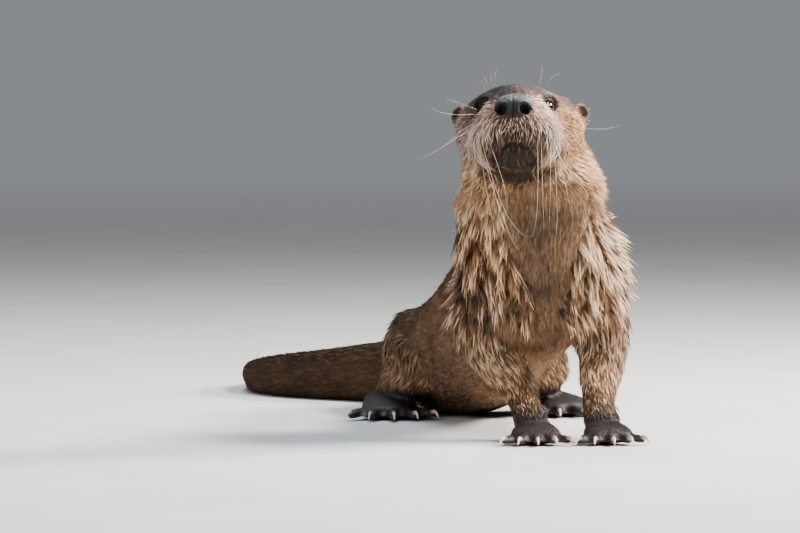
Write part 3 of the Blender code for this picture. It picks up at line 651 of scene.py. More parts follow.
def warmth(w):
    """0 where the coat is a cool grey brown, 1 where it is golden or rusty."""
    p, n, h = w.p, w.n, w.h
    z = p[:, 2]
    warm = np.full(len(z), 0.50)
    neck = smooth(0.080, 0.145, z) * smooth(0.085, -0.005, p[:, 1] - SHIFT[1])
    warm = warm * (1 - neck) + (0.80 - 0.20 * smooth(0.0, 0.8, n[:, 0])) * neck
    band = throat(w)
    warm = warm * (1 - band) + 0.44 * band
    crown = w.head * smooth(-0.5, 1.0, h[:, 2])
    cheek = w.head * (1 - smooth(-0.5, 1.0, h[:, 2]))
    warm = warm * (1 - crown) + 0.30 * crown
    # cheeks warm rusty on the animal's left and cool grey on its right: partly the cheek's rusty colour, partly painted
    # warm light and cool shade
    warm = warm * (1 - cheek) + (0.54 + 0.42 * np.sign(h[:, 1]) * smooth(1.8, 3.4, np.abs(h[:, 1]))) * cheek
    jowl = w.head * smooth(-1.6, -5.0, h[:, 2] + 1.1 * noise3(p, 0.010, 33, 2)) * smooth(4.6, 3.0, h[:, 0])
    warm = warm * (1 - jowl) + (0.84 - 0.22 * smooth(0.0, 3.0, h[:, 1])) * jowl
    muzzle = w.head * smooth(4.5, 6.5, h[:, 0])
    warm = warm * (1 - muzzle) + 0.30 * muzzle
    # a cool blue-grey over the brows, bridge and round the eyes: painted sky reflection on wet fur
    mask = w.head * smooth(1.0, 2.6, h[:, 0]) * smooth(4.2, 3.0, np.abs(h[:, 1])) * smooth(-0.9, 0.1, h[:, 2])
    warm = warm * (1 - mask) + 0.02 * mask
    # the chin mark, partly painted shade under the lips, made red-brown
    chin = smooth(2.0, 3.6, h[:, 0]) * smooth(0.05, 0.45, lip_line(h[:, 1]) - h[:, 2]) * jaw_edge(w)
    warm = warm * (1 - chin) + 0.92 * chin
    legs = smooth(0.4, 0.8, w.leg) * smooth(0.105, 0.06, z) * (w.leg_k < 2)
    warm = warm * (1 - legs) + 0.62 * legs
    warm = warm * (1 - w.paw) + 0.08 * w.paw
    return np.clip(warm + 0.12 * noise3(p, 0.020, 12), 0, 1)


# ---------------------------------------------------------------- the skin
def slim(ob, wanted, keep):
    """Fewer faces everywhere but where keep says (0 to 1 on each vertex), to about the wanted number of triangles."""
    me = ob.data
    me.calc_loop_triangles()
    have = len(me.loop_triangles)
    if have <= wanted:
        return ob
    g = ob.vertex_groups.new(name="slim")
    for level in (0.0, 0.5, 1.0):
        ids = np.nonzero(np.abs((1 - keep) - level) <= 0.25)[0]
        if level > 0 and len(ids):
            g.add(ids.tolist(), level, "REPLACE")
    m = ob.modifiers.new("slim", "DECIMATE")
    m.ratio, m.vertex_group, m.vertex_group_factor = wanted / have, "slim", 1.0
    applied(ob)
    ob.vertex_groups.clear()
    return ob


def refine(ob, chosen, times=1):
    """Each chosen face cut in four."""
    bm = bmesh.new()
    bm.from_mesh(ob.data)
    for _ in range(times):
        co = np.array([f.calc_center_median() for f in bm.faces])
        pick = chosen(co)
        edges = set()
        for f, k in zip(bm.faces, pick):
            if k:
                edges.update(f.edges)
        bmesh.ops.subdivide_edges(bm, edges=list(edges), cuts=1, use_grid_fill=True)
    bm.to_mesh(ob.data)
    bm.free()
    ob.data.update()


SCULPT = {}


def sculpt_head(p, n):
    """The face's finer shapes, in head axes: lids round the eyes, nostrils and the lips' line."""
    h = to_head(p)
    f, r, u = h.T.copy()
    hole = np.zeros(len(p))
    # nostrils: a round pit each side, drawn out into a slit towards the cheek
    for s in (-1, 1):
        a, b = r * s, u + 1.24
        pit = ((a - 0.88) / 0.39) ** 2 + (b / 0.38) ** 2
        slit = ((a - 1.22) / 0.26) ** 2 + ((b - 0.06 - 0.10 * (a - 1.1)) / 0.15) ** 2
        deep = np.maximum(0.60 * smooth(1.15, 0.50, pit), 0.24 * smooth(1.1, 0.4, slit)) * (f > 7.4)
        hole = np.maximum(hole, smooth(0.10, 0.30, deep))
        h[:, 0] -= deep
        h[:, 1] -= s * deep * 0.15
        h[:, 2] += deep * 0.10
        wing = smooth(1.0, 0.0, np.abs(np.sqrt(pit) - 1.40) / 0.40) * (f > 7.4) * (b > -0.3)
        h[:, 0] += 0.07 * wing
    groove = smooth(0.13, 0.02, np.abs(r)) * smooth(-2.1, -1.6, u + 0 * f) * smooth(0.1, -0.7, u) * (f > 7.4)
    h[:, 0] -= 0.10 * groove
    # philtrum and lips
    line = lip_line(r)
    front = smooth(3.0, 4.4, f) * smooth(2.9, 2.4, np.abs(r)) * (u > -6.2)
    slope = np.sqrt(1 + (0.66 * np.minimum(np.abs(r), 2.5)) ** 2)
    gap = (u - line) / slope
    lip = smooth(0.20, 0.02, np.abs(gap + 0.05)) * front
    over = smooth(0.60, 0.05, np.abs(gap - 0.36)) * front
    under = smooth(0.0, 0.35, -gap) * smooth(1.8, 0.8, -gap) * front
    way = np.stack([smooth(3.5, 6.5, f), 0.7 * np.sign(r) * smooth(0.3, 2.0, np.abs(r)), -0.45 * smooth(-3.6, -4.4, u)], 1)
    h -= (0.20 * lip - 0.08 * over + 0.12 * under)[:, None] * unit(way + 1e-9)
    SCULPT["lip"] = lip
    philtrum = smooth(0.12, 0.02, np.abs(r)) * smooth(-3.3, -3.0, u) * smooth(-1.4, -1.7, u) * (f > 6.8)
    h[:, 0] -= 0.08 * philtrum
    # eyelids: the skin drawn over the ball, open in an oval
    SCULPT["rho"] = np.full(len(p), 9.0)
    for s in (-1, 1):
        c = np.array([EYE_AT[0], EYE_AT[1] * s, EYE_AT[2]])
        out = unit(np.array(EYE_OUT) * [1, s, 1])
        side = unit(np.cross(np.array([0, 0, 1.0]), out))
        upw = np.cross(out, side)
        d = h - c
        z, x, y = d @ out, d @ side, d @ upw
        ball_r = EYE_R / CM
        near = (np.linalg.norm(d, axis=1) < 2.0) & (z > -0.55)
        # the opening: rounded, its corners drawn out a little fore and aft, the upper lid flatter
        rho = np.sqrt((x / 0.45) ** 2 + ((y + 0.01) / (0.40 - 0.05 * (y > 0))) ** 2)
        rad = np.sqrt(x**2 + y**2)
        top = np.sqrt(np.clip(ball_r**2 - rad**2, 0.0, None))
        lid = np.where(rad < ball_r, top, 0.0) + 0.070 + 0.035 * smooth(1.0, 1.3, rho)
        inside = smooth(1.05, 0.95, rho)
        target = lid * (1 - inside) + (top - 0.32) * inside
        hold = smooth(2.0, 1.15, rho) * near
        z2 = z * (1 - hold) + target * hold
        # a brow fold above and a soft bag below
        z2 = z2 + near * smooth(0.45, 0.0, np.abs(rho - 1.75)) * (0.060 * smooth(-0.05, 0.2, y) + 0.030 * smooth(0.0, -0.2, y))
        h += np.where(near, z2 - z, 0)[:, None] * out
        SCULPT["rho"] = np.where(near, np.minimum(SCULPT["rho"], rho), SCULPT["rho"])
    q = np.stack([h[:, 1], -h[:, 0], h[:, 2]], 1) * CM
    SCULPT["hole"] = hole
    return q @ HEAD_M.T + HEAD_P


def ear_bowl(w):
    """Inside the cups of the ears."""
    got = np.zeros(len(w.p))
    for s in (-1, 1):
        c = np.array([0.25, 5.00 * s, 0.88])
        got = np.maximum(got, smooth(0.70, 0.50, np.linalg.norm((w.h - c) * [0.9, 1, 1], axis=1)) * (w.h[:, 1] * s > 4.4))
    return got


def make_skin():
    torso = merge("torso", [make_body(), make_head()], 0.0020, 8)
    feet, claw_at = make_feet()
    whole = merge("river_otter_skin", [torso, feet] + make_ears(), 0.0016, 2)
    whole.data.transform(Matrix.Translation(AT_ORIGIN))
    p = points_of(whole.data)
    h = to_head(p)
    w = Where(p, normals_of(whole.data))
    keep = np.maximum(smooth(-2.0, 1.0, h[:, 0]) * (p[:, 2] > 0.17), np.maximum(w.paw, w.ear))
    slim(whole, 88000, keep)
    refine(whole, lambda c: (to_head(c)[:, 0] > 2.4) & (c[:, 2] > 0.17))
    refine(whole, lambda c: ((to_head(c)[:, 0] > 7.2) & (c[:, 2] > 0.20) & (to_head(c)[:, 2] > -3.4)) | (Where(c, c * 0 + [0, 0, 1.0]).eye < 1.25))
    w = Where(points_of(whole.data), normals_of(whole.data))
    joint = smooth(0.08, 0.35, w.paw) * smooth(0.97, 0.75, w.paw)
    g = whole.vertex_groups.new(name="wrist")
    for i in np.nonzero(joint > 0.05)[0].tolist():
        g.add([i], float(joint[i]), "REPLACE")
    m = whole.modifiers.new("wrist", "SMOOTH")
    m.factor, m.iterations, m.vertex_group = 0.8, 24, "wrist"
    applied(whole)
    whole.vertex_groups.clear()
    me = whole.data
    p, n = points_of(me), normals_of(me)
    w = Where(p, n)
    p = p - n * coat_depth(w)[:, None]
    p = sculpt_head(p, n)
    p[:, 2] = p[:, 2].clip(0.0006)
    put_points(me, p)
    return whole, claw_at


def lie_of(w):
    """Each point in the straightened body, squeezed lengthwise, so that noise runs in lines along the lie of the coat. Metres."""
    def straight(line, index):
        off = w.p - line.p[index]
        t, d = line.t[index], DORSAL[id(line)][index]
        return np.stack([(off * np.cross(t, d)).sum(1), (off * d).sum(1), 0.13 * (line.s[index] + (off * t).sum(1))], 1)

    got = straight(TORSO, w.it)
    got = np.where((w.tail > 0.5)[:, None], straight(TAILL, w.ia), got)
    for k, line in enumerate((FORE[-1], FORE[1], HIND[-1], HIND[1])):
        at = (w.leg_k == k) & (w.leg > 0.5)
        if at.any():
            sub = straight(line, nearest(w.p, line.p)[0])
            got = np.where(at[:, None], sub, got)
    h = w.h * CM
    head = np.stack([h[:, 1], h[:, 2], 0.16 * h[:, 0]], 1)
    return np.where((w.head > 0.5)[:, None], head, got)


def vectors(me, name, values):
    a = me.attributes.new(name, "FLOAT_VECTOR", "POINT")
    a.data.foreach_set("vector", np.asarray(values, np.float32).ravel())


def floats(me, name, values):
    a = me.attributes.new(name, "FLOAT", "POINT")
    a.data.foreach_set("value", np.asarray(values, np.float32))


# ---------------------------------------------------------------- materials
def nodes_of(name):
    m = bpy.data.materials.new(name)
    m.use_nodes = True
    t = m.node_tree
    return m, t, t.nodes["Principled BSDF"]


def add(t, kind, **settings):
    n = t.nodes.new(kind)
    for k, v in settings.items():
        setattr(n, k, v)
    return n


def attribute(t, name):
    return add(t, "ShaderNodeAttribute", attribute_name=name, attribute_type="GEOMETRY").outputs["Fac"]


def math_node(t, op, a, b=0.0, clamp=False):
    n = add(t, "ShaderNodeMath", operation=op, use_clamp=clamp)
    for i, v in enumerate((a, b)):
        if isinstance(v, (int, float)):
            n.inputs[i].default_value = v
        else:
            t.links.new(v, n.inputs[i])
    return n.outputs[0]


def ramp(t, fac, stops, mode="LINEAR"):
    n = add(t, "ShaderNodeValToRGB")
    n.color_ramp.interpolation = mode
    e = n.color_ramp.elements
    while len(e) < len(stops):
        e.new(0.5)
    for k, (at, rgb) in zip(e, stops):
        k.position = at
        k.color = (*rgb, 1) if len(rgb) == 3 else rgb
    t.links.new(fac, n.inputs[0])
    return n.outputs["Color"]


def mix(t, fac, a, b, kind="MIX"):
    n = add(t, "ShaderNodeMix", data_type="RGBA", blend_type=kind)
    for i, v in ((0, fac), (6, a), (7, b)):
        if isinstance(v, (int, float)):
            n.inputs[i].default_value = v
        elif isinstance(v, tuple):
            n.inputs[i].default_value = (*v, 1)
        else:
            t.links.new(v, n.inputs[i])
    return n.outputs[2]


def noise(t, scale, detail=3.0, rough=0.5, at=None):
    n = add(t, "ShaderNodeTexNoise")
    n.inputs["Scale"].default_value, n.inputs["Detail"].default_value, n.inputs["Roughness"].default_value = scale, detail, rough
    if at is None:
        at = add(t, "ShaderNodeTexCoord").outputs["Object"]
    t.links.new(at, n.inputs["Vector"])
    return n.outputs["Fac"]


# paleness of the markings to the colour of a hair's root and of its tip; the roots far darker than the tips, partly the
# hair's own colour and partly painted shade deep in the coat
ROOT_AND_SHADE = [(0.0, (0.007, 0.004, 0.003)), (0.20, (0.018, 0.011, 0.006)), (0.42, (0.052, 0.027, 0.012)), (0.70, (0.125, 0.064, 0.028)), (1.0, (0.25, 0.14, 0.07))]
TIP = [(0.0, (0.020, 0.012, 0.009)), (0.16, (0.070, 0.042, 0.026)), (0.32, (0.182, 0.102, 0.058)), (0.45, (0.36, 0.208, 0.118)), (0.60, (0.65, 0.415, 0.255)), (0.78, (0.92, 0.70, 0.495)), (1.0, (0.98, 0.88, 0.76))]


def hue(t, col, warm):
    """The colour made cool or warm."""
    tint = ramp(t, warm, [(0.0, (0.88, 0.92, 1.34)), (0.40, (1.0, 1.0, 1.0)), (1.0, (1.17, 0.97, 0.70))])
    return mix(t, 1.0, col, tint, "MULTIPLY")


def coat_material(name, rough, shine, vary=0.80):
    m, t, b = nodes_of(name)
    pale, along, rnd, warm, cut = attribute(t, "pale"), attribute(t, "along"), attribute(t, "rnd"), attribute(t, "warm"), attribute(t, "cut")
    tone = math_node(t, "ADD", pale, math_node(t, "MULTIPLY", math_node(t, "MULTIPLY", math_node(t, "SUBTRACT", rnd, 0.5), math_node(t, "ADD", pale, 0.22)), vary), clamp=True)
    streak = noise(t, 70.0, 2.0)
    tone = math_node(t, "ADD", tone, math_node(t, "MULTIPLY", math_node(t, "SUBTRACT", streak, 0.5), 0.225 * vary), clamp=True)
    rise = add(t, "ShaderNodeMapRange", interpolation_type="SMOOTHSTEP")
    t.links.new(along, rise.inputs[0])
    rise.inputs[1].default_value, rise.inputs[2].default_value = 0.05, 0.85
    # short coats keep one tone from root to tip; longer ones run from the dark root colour, partly painted shade, to
    # the tip
    part = math_node(t, "ADD", math_node(t, "MULTIPLY", rise.outputs[0], math_node(t, "SUBTRACT", 1.0, cut)), math_node(t, "MULTIPLY", cut, 0.62))
    col = hue(t, mix(t, part, ramp(t, tone, ROOT_AND_SHADE), ramp(t, tone, TIP)), warm)
    t.links.new(col, b.inputs["Base Color"])
    # long wet locks shine, short fur scatters the light
    t.links.new(math_node(t, "ADD", rough, math_node(t, "MULTIPLY", cut, 0.55), clamp=True), b.inputs["Roughness"])
    b.inputs["Specular IOR Level"].default_value = shine
    return m


def skin_material():
    m, t, b = nodes_of("skin_and_underfur")
    pale, warm, nose_m, paw, hole, ear, rim, thin = [attribute(t, k) for k in ("pale", "warm", "nose", "paw", "hole", "ear", "rim", "thin")]
    upper = attribute(t, "upper")
    lie = add(t, "ShaderNodeAttribute", attribute_name="lie", attribute_type="GEOMETRY").outputs["Vector"]
    streak = noise(t, 1500.0, 4.0, 0.62, lie)       # fine hair lines along the lie of the coat
    lock = noise(t, 420.0, 3.0, 0.55, lie)
    n1 = noise(t, 90.0, 4.0, 0.6)
    n2 = noise(t, 900.0, 3.0, 0.6)
    tone = math_node(t, "ADD", pale, math_node(t, "MULTIPLY", math_node(t, "SUBTRACT", streak, 0.5), 0.55))
    tone = math_node(t, "ADD", tone, math_node(t, "MULTIPLY", math_node(t, "SUBTRACT", lock, 0.5), 0.35))
    tone = math_node(t, "ADD", tone, math_node(t, "MULTIPLY", math_node(t, "SUBTRACT", n1, 0.5), 0.20), clamp=True)
    # the skin under the coat takes mostly the dark root colour: partly the underfur's own colour and partly painted
    # shade between the tufts
    under = hue(t, mix(t, math_node(t, "ADD", 0.12, math_node(t, "MULTIPLY", thin, 0.30)), ramp(t, tone, ROOT_AND_SHADE), ramp(t, tone, TIP)), warm)
    grain = noise(t, 420.0, 5.0, 0.65)
    # nose leather: near black below, and on the upper half a glossy blue-grey that is painted sky reflection
    leather = mix(t, upper, ramp(t, grain, [(0.32, (0.0015, 0.0015, 0.0015)), (0.72, (0.005, 0.0045, 0.005))]),
                  ramp(t, grain, [(0.32, (0.017, 0.019, 0.025)), (0.52, (0.046, 0.051, 0.064)), (0.72, (0.092, 0.100, 0.124))]))
    pad = ramp(t, noise(t, 300.0, 4.0, 0.6), [(0.3, (0.007, 0.006, 0.007)), (0.7, (0.026, 0.021, 0.023))])
    col = mix(t, math_node(t, "MULTIPLY", paw, 0.75), under, pad)
    inner = ramp(t, noise(t, 500.0, 3.0), [(0.3, (0.004, 0.003, 0.003)), (0.7, (0.016, 0.010, 0.009))])
    col = mix(t, ear, col, inner)
    col = mix(t, rim, col, (0.018, 0.012, 0.010))
    col = mix(t, nose_m, col, leather)
    col = mix(t, hole, col, (0.003, 0.002, 0.002))
    t.links.new(col, b.inputs["Base Color"])
    bare = math_node(t, "MAXIMUM", nose_m, math_node(t, "MULTIPLY", rim, 0.8))
    slick = math_node(t, "MAXIMUM", bare, math_node(t, "MULTIPLY", paw, 0.70))
    rough = math_node(t, "SUBTRACT", math_node(t, "ADD", 0.88, math_node(t, "MULTIPLY", n1, 0.12)), math_node(t, "MULTIPLY", slick, 0.64))
    lower = math_node(t, "MULTIPLY", nose_m, math_node(t, "SUBTRACT", 1.0, upper))
    rough = math_node(t, "ADD", rough, math_node(t, "ADD", math_node(t, "MULTIPLY", hole, 0.4), math_node(t, "MULTIPLY", lower, 0.46)), clamp=True)
    t.links.new(rough, b.inputs["Roughness"])
    b.inputs["Specular IOR Level"].default_value = 0.36
    # hair lines over all of it, and the leather's pebbles on the nose
    vor = add(t, "ShaderNodeTexVoronoi", feature="F1")
    vor.inputs["Scale"].default_value = 1300.0
    t.links.new(add(t, "ShaderNodeTexCoord").outputs["Object"], vor.inputs["Vector"])
    hairs = math_node(t, "MULTIPLY", math_node(t, "ADD", math_node(t, "MULTIPLY", streak, 1.1), lock), math_node(t, "SUBTRACT", 1.0, bare))
    height = math_node(t, "ADD", hairs, math_node(t, "MULTIPLY", math_node(t, "MULTIPLY", vor.outputs["Distance"], nose_m), -0.9))
    height = math_node(t, "ADD", height, math_node(t, "MULTIPLY", n2, 0.25))
    bump = add(t, "ShaderNodeBump")
    bump.inputs["Strength"].default_value, bump.inputs["Distance"].default_value = 0.65, 0.0007
    t.links.new(height, bump.inputs["Height"])
    t.links.new(bump.outputs[0], b.inputs["Normal"])
    return m


def eye_material():
    m, t, b = nodes_of("eye")
    ring = attribute(t, "ring")
    iris = ramp(t, ring, [(0.0, (0.0015, 0.0012, 0.001)), (0.40, (0.0015, 0.0012, 0.001)), (0.44, (0.030, 0.013, 0.006)), (0.66, (0.050, 0.022, 0.010)), (0.72, (0.008, 0.005, 0.004)), (0.80, (0.020, 0.014, 0.012)), (1.0, (0.06, 0.045, 0.04))])
    fleck = ramp(t, noise(t, 1500.0, 4.0, 0.7), [(0.35, (0.55, 0.55, 0.55)), (0.7, (1.3, 1.25, 1.2))])
    t.links.new(mix(t, 1.0, iris, fleck, "MULTIPLY"), b.inputs["Base Color"])
    b.inputs["Roughness"].default_value = 0.04
    b.inputs["Specular IOR Level"].default_value = 0.38
    return m


def claw_material():
    m, t, b = nodes_of("claw_horn")
    along = attribute(t, "along")
    base = ramp(t, along, [(0.0, (0.20, 0.11, 0.085)), (0.35, (0.48, 0.32, 0.25)), (1.0, (0.74, 0.61, 0.50))])
    grain = ramp(t, noise(t, 700.0, 4.0, 0.6), [(0.3, (0.72, 0.70, 0.68)), (0.7, (1.1, 1.1, 1.1))])
    t.links.new(mix(t, 1.0, base, grain, "MULTIPLY"), b.inputs["Base Color"])
    b.inputs["Roughness"].default_value = 0.34
    b.inputs["Subsurface Weight"].default_value = 0.0
    return m


def whisker_material():
    m, t, b = nodes_of("whisker")
    along = attribute(t, "along")
    base = ramp(t, along, [(0.0, (0.25, 0.16, 0.09)), (0.2, (0.62, 0.49, 0.33)), (1.0, (0.86, 0.76, 0.60))])
    grain = ramp(t, noise(t, 200.0, 2.0), [(0.3, (0.85, 0.84, 0.82)), (0.7, (1.08, 1.08, 1.08))])
    t.links.new(mix(t, 1.0, base, grain, "MULTIPLY"), b.inputs["Base Color"])
    b.inputs["Roughness"].default_value = 0.38
    return m


# ---------------------------------------------------------------- the coat: solid tufts
def scatter(me, spacing, keep, over=3.2):
    """Points over the mesh no nearer each other than the spacing there. Returns places, normals."""
    me.calc_loop_triangles()
    tri = np.empty(len(me.loop_triangles) * 3, np.int32)
    me.loop_triangles.foreach_get("vertices", tri)
    tri = tri.reshape(-1, 3)
    p, n = points_of(me), normals_of(me)
    a, b, c = p[tri[:, 0]], p[tri[:, 1]], p[tri[:, 2]]
    area = np.linalg.norm(np.cross(b - a, c - a), axis=1) / 2
    sp = spacing[tri].mean(1)
    want = area / sp**2 * (keep[tri].mean(1) > 0.02) * over * 0.7
    count = int(want.sum())
    pick = RNG.choice(len(tri), size=count, p=want / want.sum())
    r1, r2 = np.sqrt(RNG.random(count)), RNG.random(count)
    bary = np.stack([1 - r1, r1 * (1 - r2), r1 * r2], 1)
    place = np.einsum("ij,ijk->ik", bary, p[tri[pick]])
    normal = unit(np.einsum("ij,ijk->ik", bary, n[tri[pick]]))
    gap = (spacing[tri[pick]] * bary).sum(1)
    cell = float(np.percentile(gap, 96)) * 0.999
    grid = {}
    keys = np.floor(place / cell).astype(int)
    got = []
    pl, gp = place.tolist(), gap.tolist()
    for i, (kx, ky, kz) in enumerate(keys.tolist()):
        x, y, z = pl[i]
        g2 = gp[i] ** 2
        ok = True
        for ax in (kx - 1, kx, kx + 1):
            for ay in (ky - 1, ky, ky + 1):
                for az in (kz - 1, kz, kz + 1):
                    for j in grid.get((ax, ay, az), ()):
                        q = pl[j]
                        if (q[0] - x) ** 2 + (q[1] - y) ** 2 + (q[2] - z) ** 2 < g2:
                            ok = False
                            break
                    if not ok:
                        break
                if not ok:
                    break
            if not ok:
                break
        if ok:
            grid.setdefault((kx, ky, kz), []).append(i)
            got.append(i)
    return place[got], normal[got]


def frames_of(line, up):
    """A dorsal direction carried along a line."""
    out = np.zeros_like(line.t)
    d = np.array(up, float)
    for i, t in enumerate(line.t):
        d = d - t * (d @ t)
        d = d / np.linalg.norm(d)
        out[i] = d
    return out


DORSAL = {id(TORSO): frames_of(TORSO, (0, 1, 0.2)), id(TAILL): frames_of(TAILL, (0, 0, 1))}
for line in (*FORE.values(), *HIND.values()):
    DORSAL[id(line)] = frames_of(line, (0, 1, 0.1))


def chart(line, p, index):
    """A place round and along a line: turn 0 to 1 and metres along."""
    c, t, d = line.p[index], line.t[index], DORSAL[id(line)][index]
    off = p - c
    side = np.cross(t, d)
    turn = np.arctan2((off * side).sum(1), (off * d).sum(1)) / (2 * math.pi) + 0.5
    return turn, line.s[index] + (off * t).sum(1)


def head_chart(h):
    turn = np.arctan2(h[:, 1], h[:, 2] + 1.4) / (2 * math.pi) + 0.5
    return turn, h[:, 0] * CM


def grow(P, N, T, L, R, k, W, lift, droop, clump, pale, warm, cut, turn, far, around, segs=2, ragged=0.25, curl=0.0, wave=0.0, floor=0.0004):
    """Locks of hair, each k tapering solid strands that run together to one point."""
    n = len(P)
    extra = {"warm": warm, "cut": cut}
    B = unit(np.cross(N, T))
    j = np.arange(k)
    ang = 2.399963 * j[None, :] + RNG.random((n, 1)) * 6.283
    rad = np.sqrt((j[None, :] + 0.35) / k) * (0.85 + 0.3 * RNG.random((n, k)))
    oa, ob = rad * np.cos(ang) * R[:, None], rad * np.sin(ang) * R[:, None]
    ell = 1.0 - ragged * RNG.random((n, k)) * 1.3 + ragged * 0.3
    ts, ws = {1: ((0.0, 1.0), (1.0,)), 2: ((0.0, 0.52, 1.0), (0.90, 0.85)), 3: ((0.0, 0.36, 0.70, 1.0), (0.85, 1.0, 0.66)),
              4: ((0.0, 0.27, 0.53, 0.78, 1.0), (0.85, 1.0, 0.86, 0.55))}[segs]
    roll = (RNG.random((n, k)) - 0.5) * 1.2
    Bs = B[:, None] * np.cos(roll)[..., None] + N[:, None] * np.sin(roll)[..., None]
    Ns = N[:, None] * np.cos(roll)[..., None] - B[:, None] * np.sin(roll)[..., None]
    wide = W[:, None] * (0.75 + 0.5 * RNG.random((n, k)))
    wander = (RNG.random((n, k)) - 0.5) * 0.10 * L[:, None]
    bend = (RNG.random((n, 1)) - 0.5) * curl * L[:, None]
    phase, swing = RNG.random((n, 1)) * 6.283, (0.4 + RNG.random((n, 1))) * wave * L[:, None]
    rings = []
    for t in ts:
        tt = t * ell
        conv = 1 - clump[:, None] * (t * t * (3 - 2 * t)) ** 0.8
        axis = P[:, None] + T[:, None] * (L[:, None] * tt)[..., None] + N[:, None] * (L[:, None] * (lift[:, None] * tt - droop[:, None] * tt * tt))[..., None]
        off = T[:, None] * (oa * conv)[..., None] + B[:, None] * (ob * conv + wander * t * (1 - t) * 2 + bend * tt * tt + swing * (np.sin(phase + 5.0 * tt) - np.sin(phase)) * 0.5)[..., None]
        c = axis + off
        if t == 0:
            c = c - N[:, None] * (0.0002 + 0.03 * L[:, None] + 0.04 * R[:, None] * rad)[..., None]
        rings.append(c)
    vs, al, du, dv = [], [], [], []
    for t, c, wf in zip(ts, rings, ws):
        half = (wide * wf / 2)[..., None]
        vs += [c - Bs * half, c + Bs * half, c + Ns * half * 0.9]
        al += [t, t, t]
        du += [-1.0, 1.0, 0.15]
        dv += [t * 2 - 1, t * 2 - 1.06, t * 2 - 0.94]
    vs.append(rings[-1])
    al.append(1.0)
    du.append(0.0)
    dv.append(1.0)
    m = len(vs)
    more = {key: np.repeat(v[:, None], k, 1) for key, v in extra.items()}
    V = np.stack(vs, 2)                      # n, k, m, 3
    u0 = turn[:, None] + ob / around[:, None]
    v0 = far[:, None] + oa
    r = RNG.random((n, 1)) * 0.6 + RNG.random((n, k)) * 0.4
    pl = np.repeat(pale[:, None], k, 1)
    good = V[..., 2].min(2) > floor
    V, u0, v0, r, pl = V[good], u0[good], v0[good], r[good], pl[good]
    more = {key: v[good] for key, v in more.items()}
    count = len(V)
    tri = [(0, 2, 1)]
    for q in range(len(ws) - 1):
        a, b = 3 * q, 3 * q + 3
        for e, f in ((0, 1), (1, 2), (2, 0)):
            tri += [(a + e, a + f, b + f), (a + e, b + f, b + e)]
    a = 3 * (len(ws) - 1)
    for e, f in ((0, 1), (1, 2), (2, 0)):
        tri.append((a + e, a + f, m - 1))
    F = (np.array(tri)[None] + (np.arange(count) * m)[:, None, None]).reshape(-1, 3)
    return dict(V=V.reshape(-1, 3), F=F, along=np.tile(al, count), pale=np.repeat(pl, m), rnd=np.repeat(r, m), u0=np.repeat(u0, m), v0=np.repeat(v0, m),
                du=np.tile(du, count), dv=np.tile(dv, count), **{key: np.repeat(v, m) for key, v in more.items()})


def write_piece(name, chunk, material):
    """One mesh from some of the grown groups, with its OFBake map fitted to the square."""
    V = np.concatenate([c["V"] for c in chunk])
    F, at = [], 0
    for c in chunk:
        F.append(c["F"] + at)
        at += len(c["V"])
    F = np.concatenate(F)
    U0 = np.concatenate([c["u0"] for c in chunk])
    V0 = np.concatenate([c["v0"] for c in chunk])
    du = np.concatenate([c["du"] for c in chunk])
    dv = np.concatenate([c["dv"] for c in chunk])
    lo, hi = U0.min(), U0.max()
    U = 0.006 + 0.988 * (U0 - lo) / max(hi - lo, 1e-9)
    lo, hi = V0.min(), V0.max()
    W = 0.006 + 0.988 * (V0 - lo) / max(hi - lo, 1e-9)
    U = np.clip(U, 0.004, 0.996) + du * 0.0015
    W = np.clip(W, 0.004, 0.996) + dv * 0.0015
    me = bpy.data.meshes.new(name)
    me.vertices.add(len(V))
    me.vertices.foreach_set("co", V.astype(np.float32).ravel())
    me.loops.add(len(F) * 3)
    me.loops.foreach_set("vertex_index", F.astype(np.int32).ravel())
    me.polygons.add(len(F))
    me.polygons.foreach_set("loop_start", (np.arange(len(F)) * 3).astype(np.int32))
    uv = me.uv_layers.new(name="OFBake")
    uv.data.foreach_set("uv", np.stack([U[F.ravel()], W[F.ravel()]], 1).astype(np.float32).ravel())
    me.polygons.foreach_set("use_smooth", np.ones(len(F), bool))
    for key in ("along", "pale", "rnd", "warm", "cut"):
        floats(me, key, np.concatenate([c[key] for c in chunk]))
    me.update()
    me.validate()
    me.materials.append(material)
    ob = bpy.data.objects.new(name, me)
    bpy.context.scene.collection.objects.link(ob)
    return ob


# ---------------------------------------------------------------- the skin, dressed
skin, claw_at = make_skin()
skin.data.shade_smooth()
P_SKIN, N_SKIN = points_of(skin.data), normals_of(skin.data)
W_SKIN = Where(P_SKIN, N_SKIN)
PALE = paleness(W_SKIN)
# the skin just under the nose made darker and cooler: painted shade under the nose
SHADE_UNDER_NOSE = W_SKIN.head * smooth(7.0, 7.9, W_SKIN.h[:, 0]) * smooth(-1.5, -2.0, W_SKIN.h[:, 2])
floats(skin.data, "pale", PALE * (1 - 0.45 * SHADE_UNDER_NOSE))
floats(skin.data, "nose", W_SKIN.nose)
floats(skin.data, "paw", W_SKIN.paw)
floats(skin.data, "hole", SCULPT["hole"])
floats(skin.data, "ear", ear_bowl(W_SKIN))
floats(skin.data, "warm", warmth(W_SKIN) * (1 - SHADE_UNDER_NOSE))
# the upper half of the nose, which carries the painted sky reflection
floats(skin.data, "upper", smooth(-0.95, -0.35, W_SKIN.h[:, 2]))
floats(skin.data, "rim", np.maximum(smooth(1.55, 1.25, SCULPT["rho"]), 0.9 * SCULPT["lip"] * W_SKIN.head))
floats(skin.data, "thin", np.maximum(np.maximum(throat(W_SKIN), W_SKIN.ear), np.maximum(W_SKIN.paw, 0.12 * smooth(-0.3, -0.8, N_SKIN[:, 2]))))
vectors(skin.data, "lie", lie_of(W_SKIN))
skin.data.materials.clear()
skin.data.materials.append(skin_material())
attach(skin, "root")
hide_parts(*[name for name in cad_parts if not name.startswith("eye")])

# ---------------------------------------------------------------- the coat
COAT = coat_material("wet_coat", 0.40, 0.28)
SOFT = coat_material("soft_coat", 0.58, 0.07, 0.40)


CENTRES = {}


TREES = {}


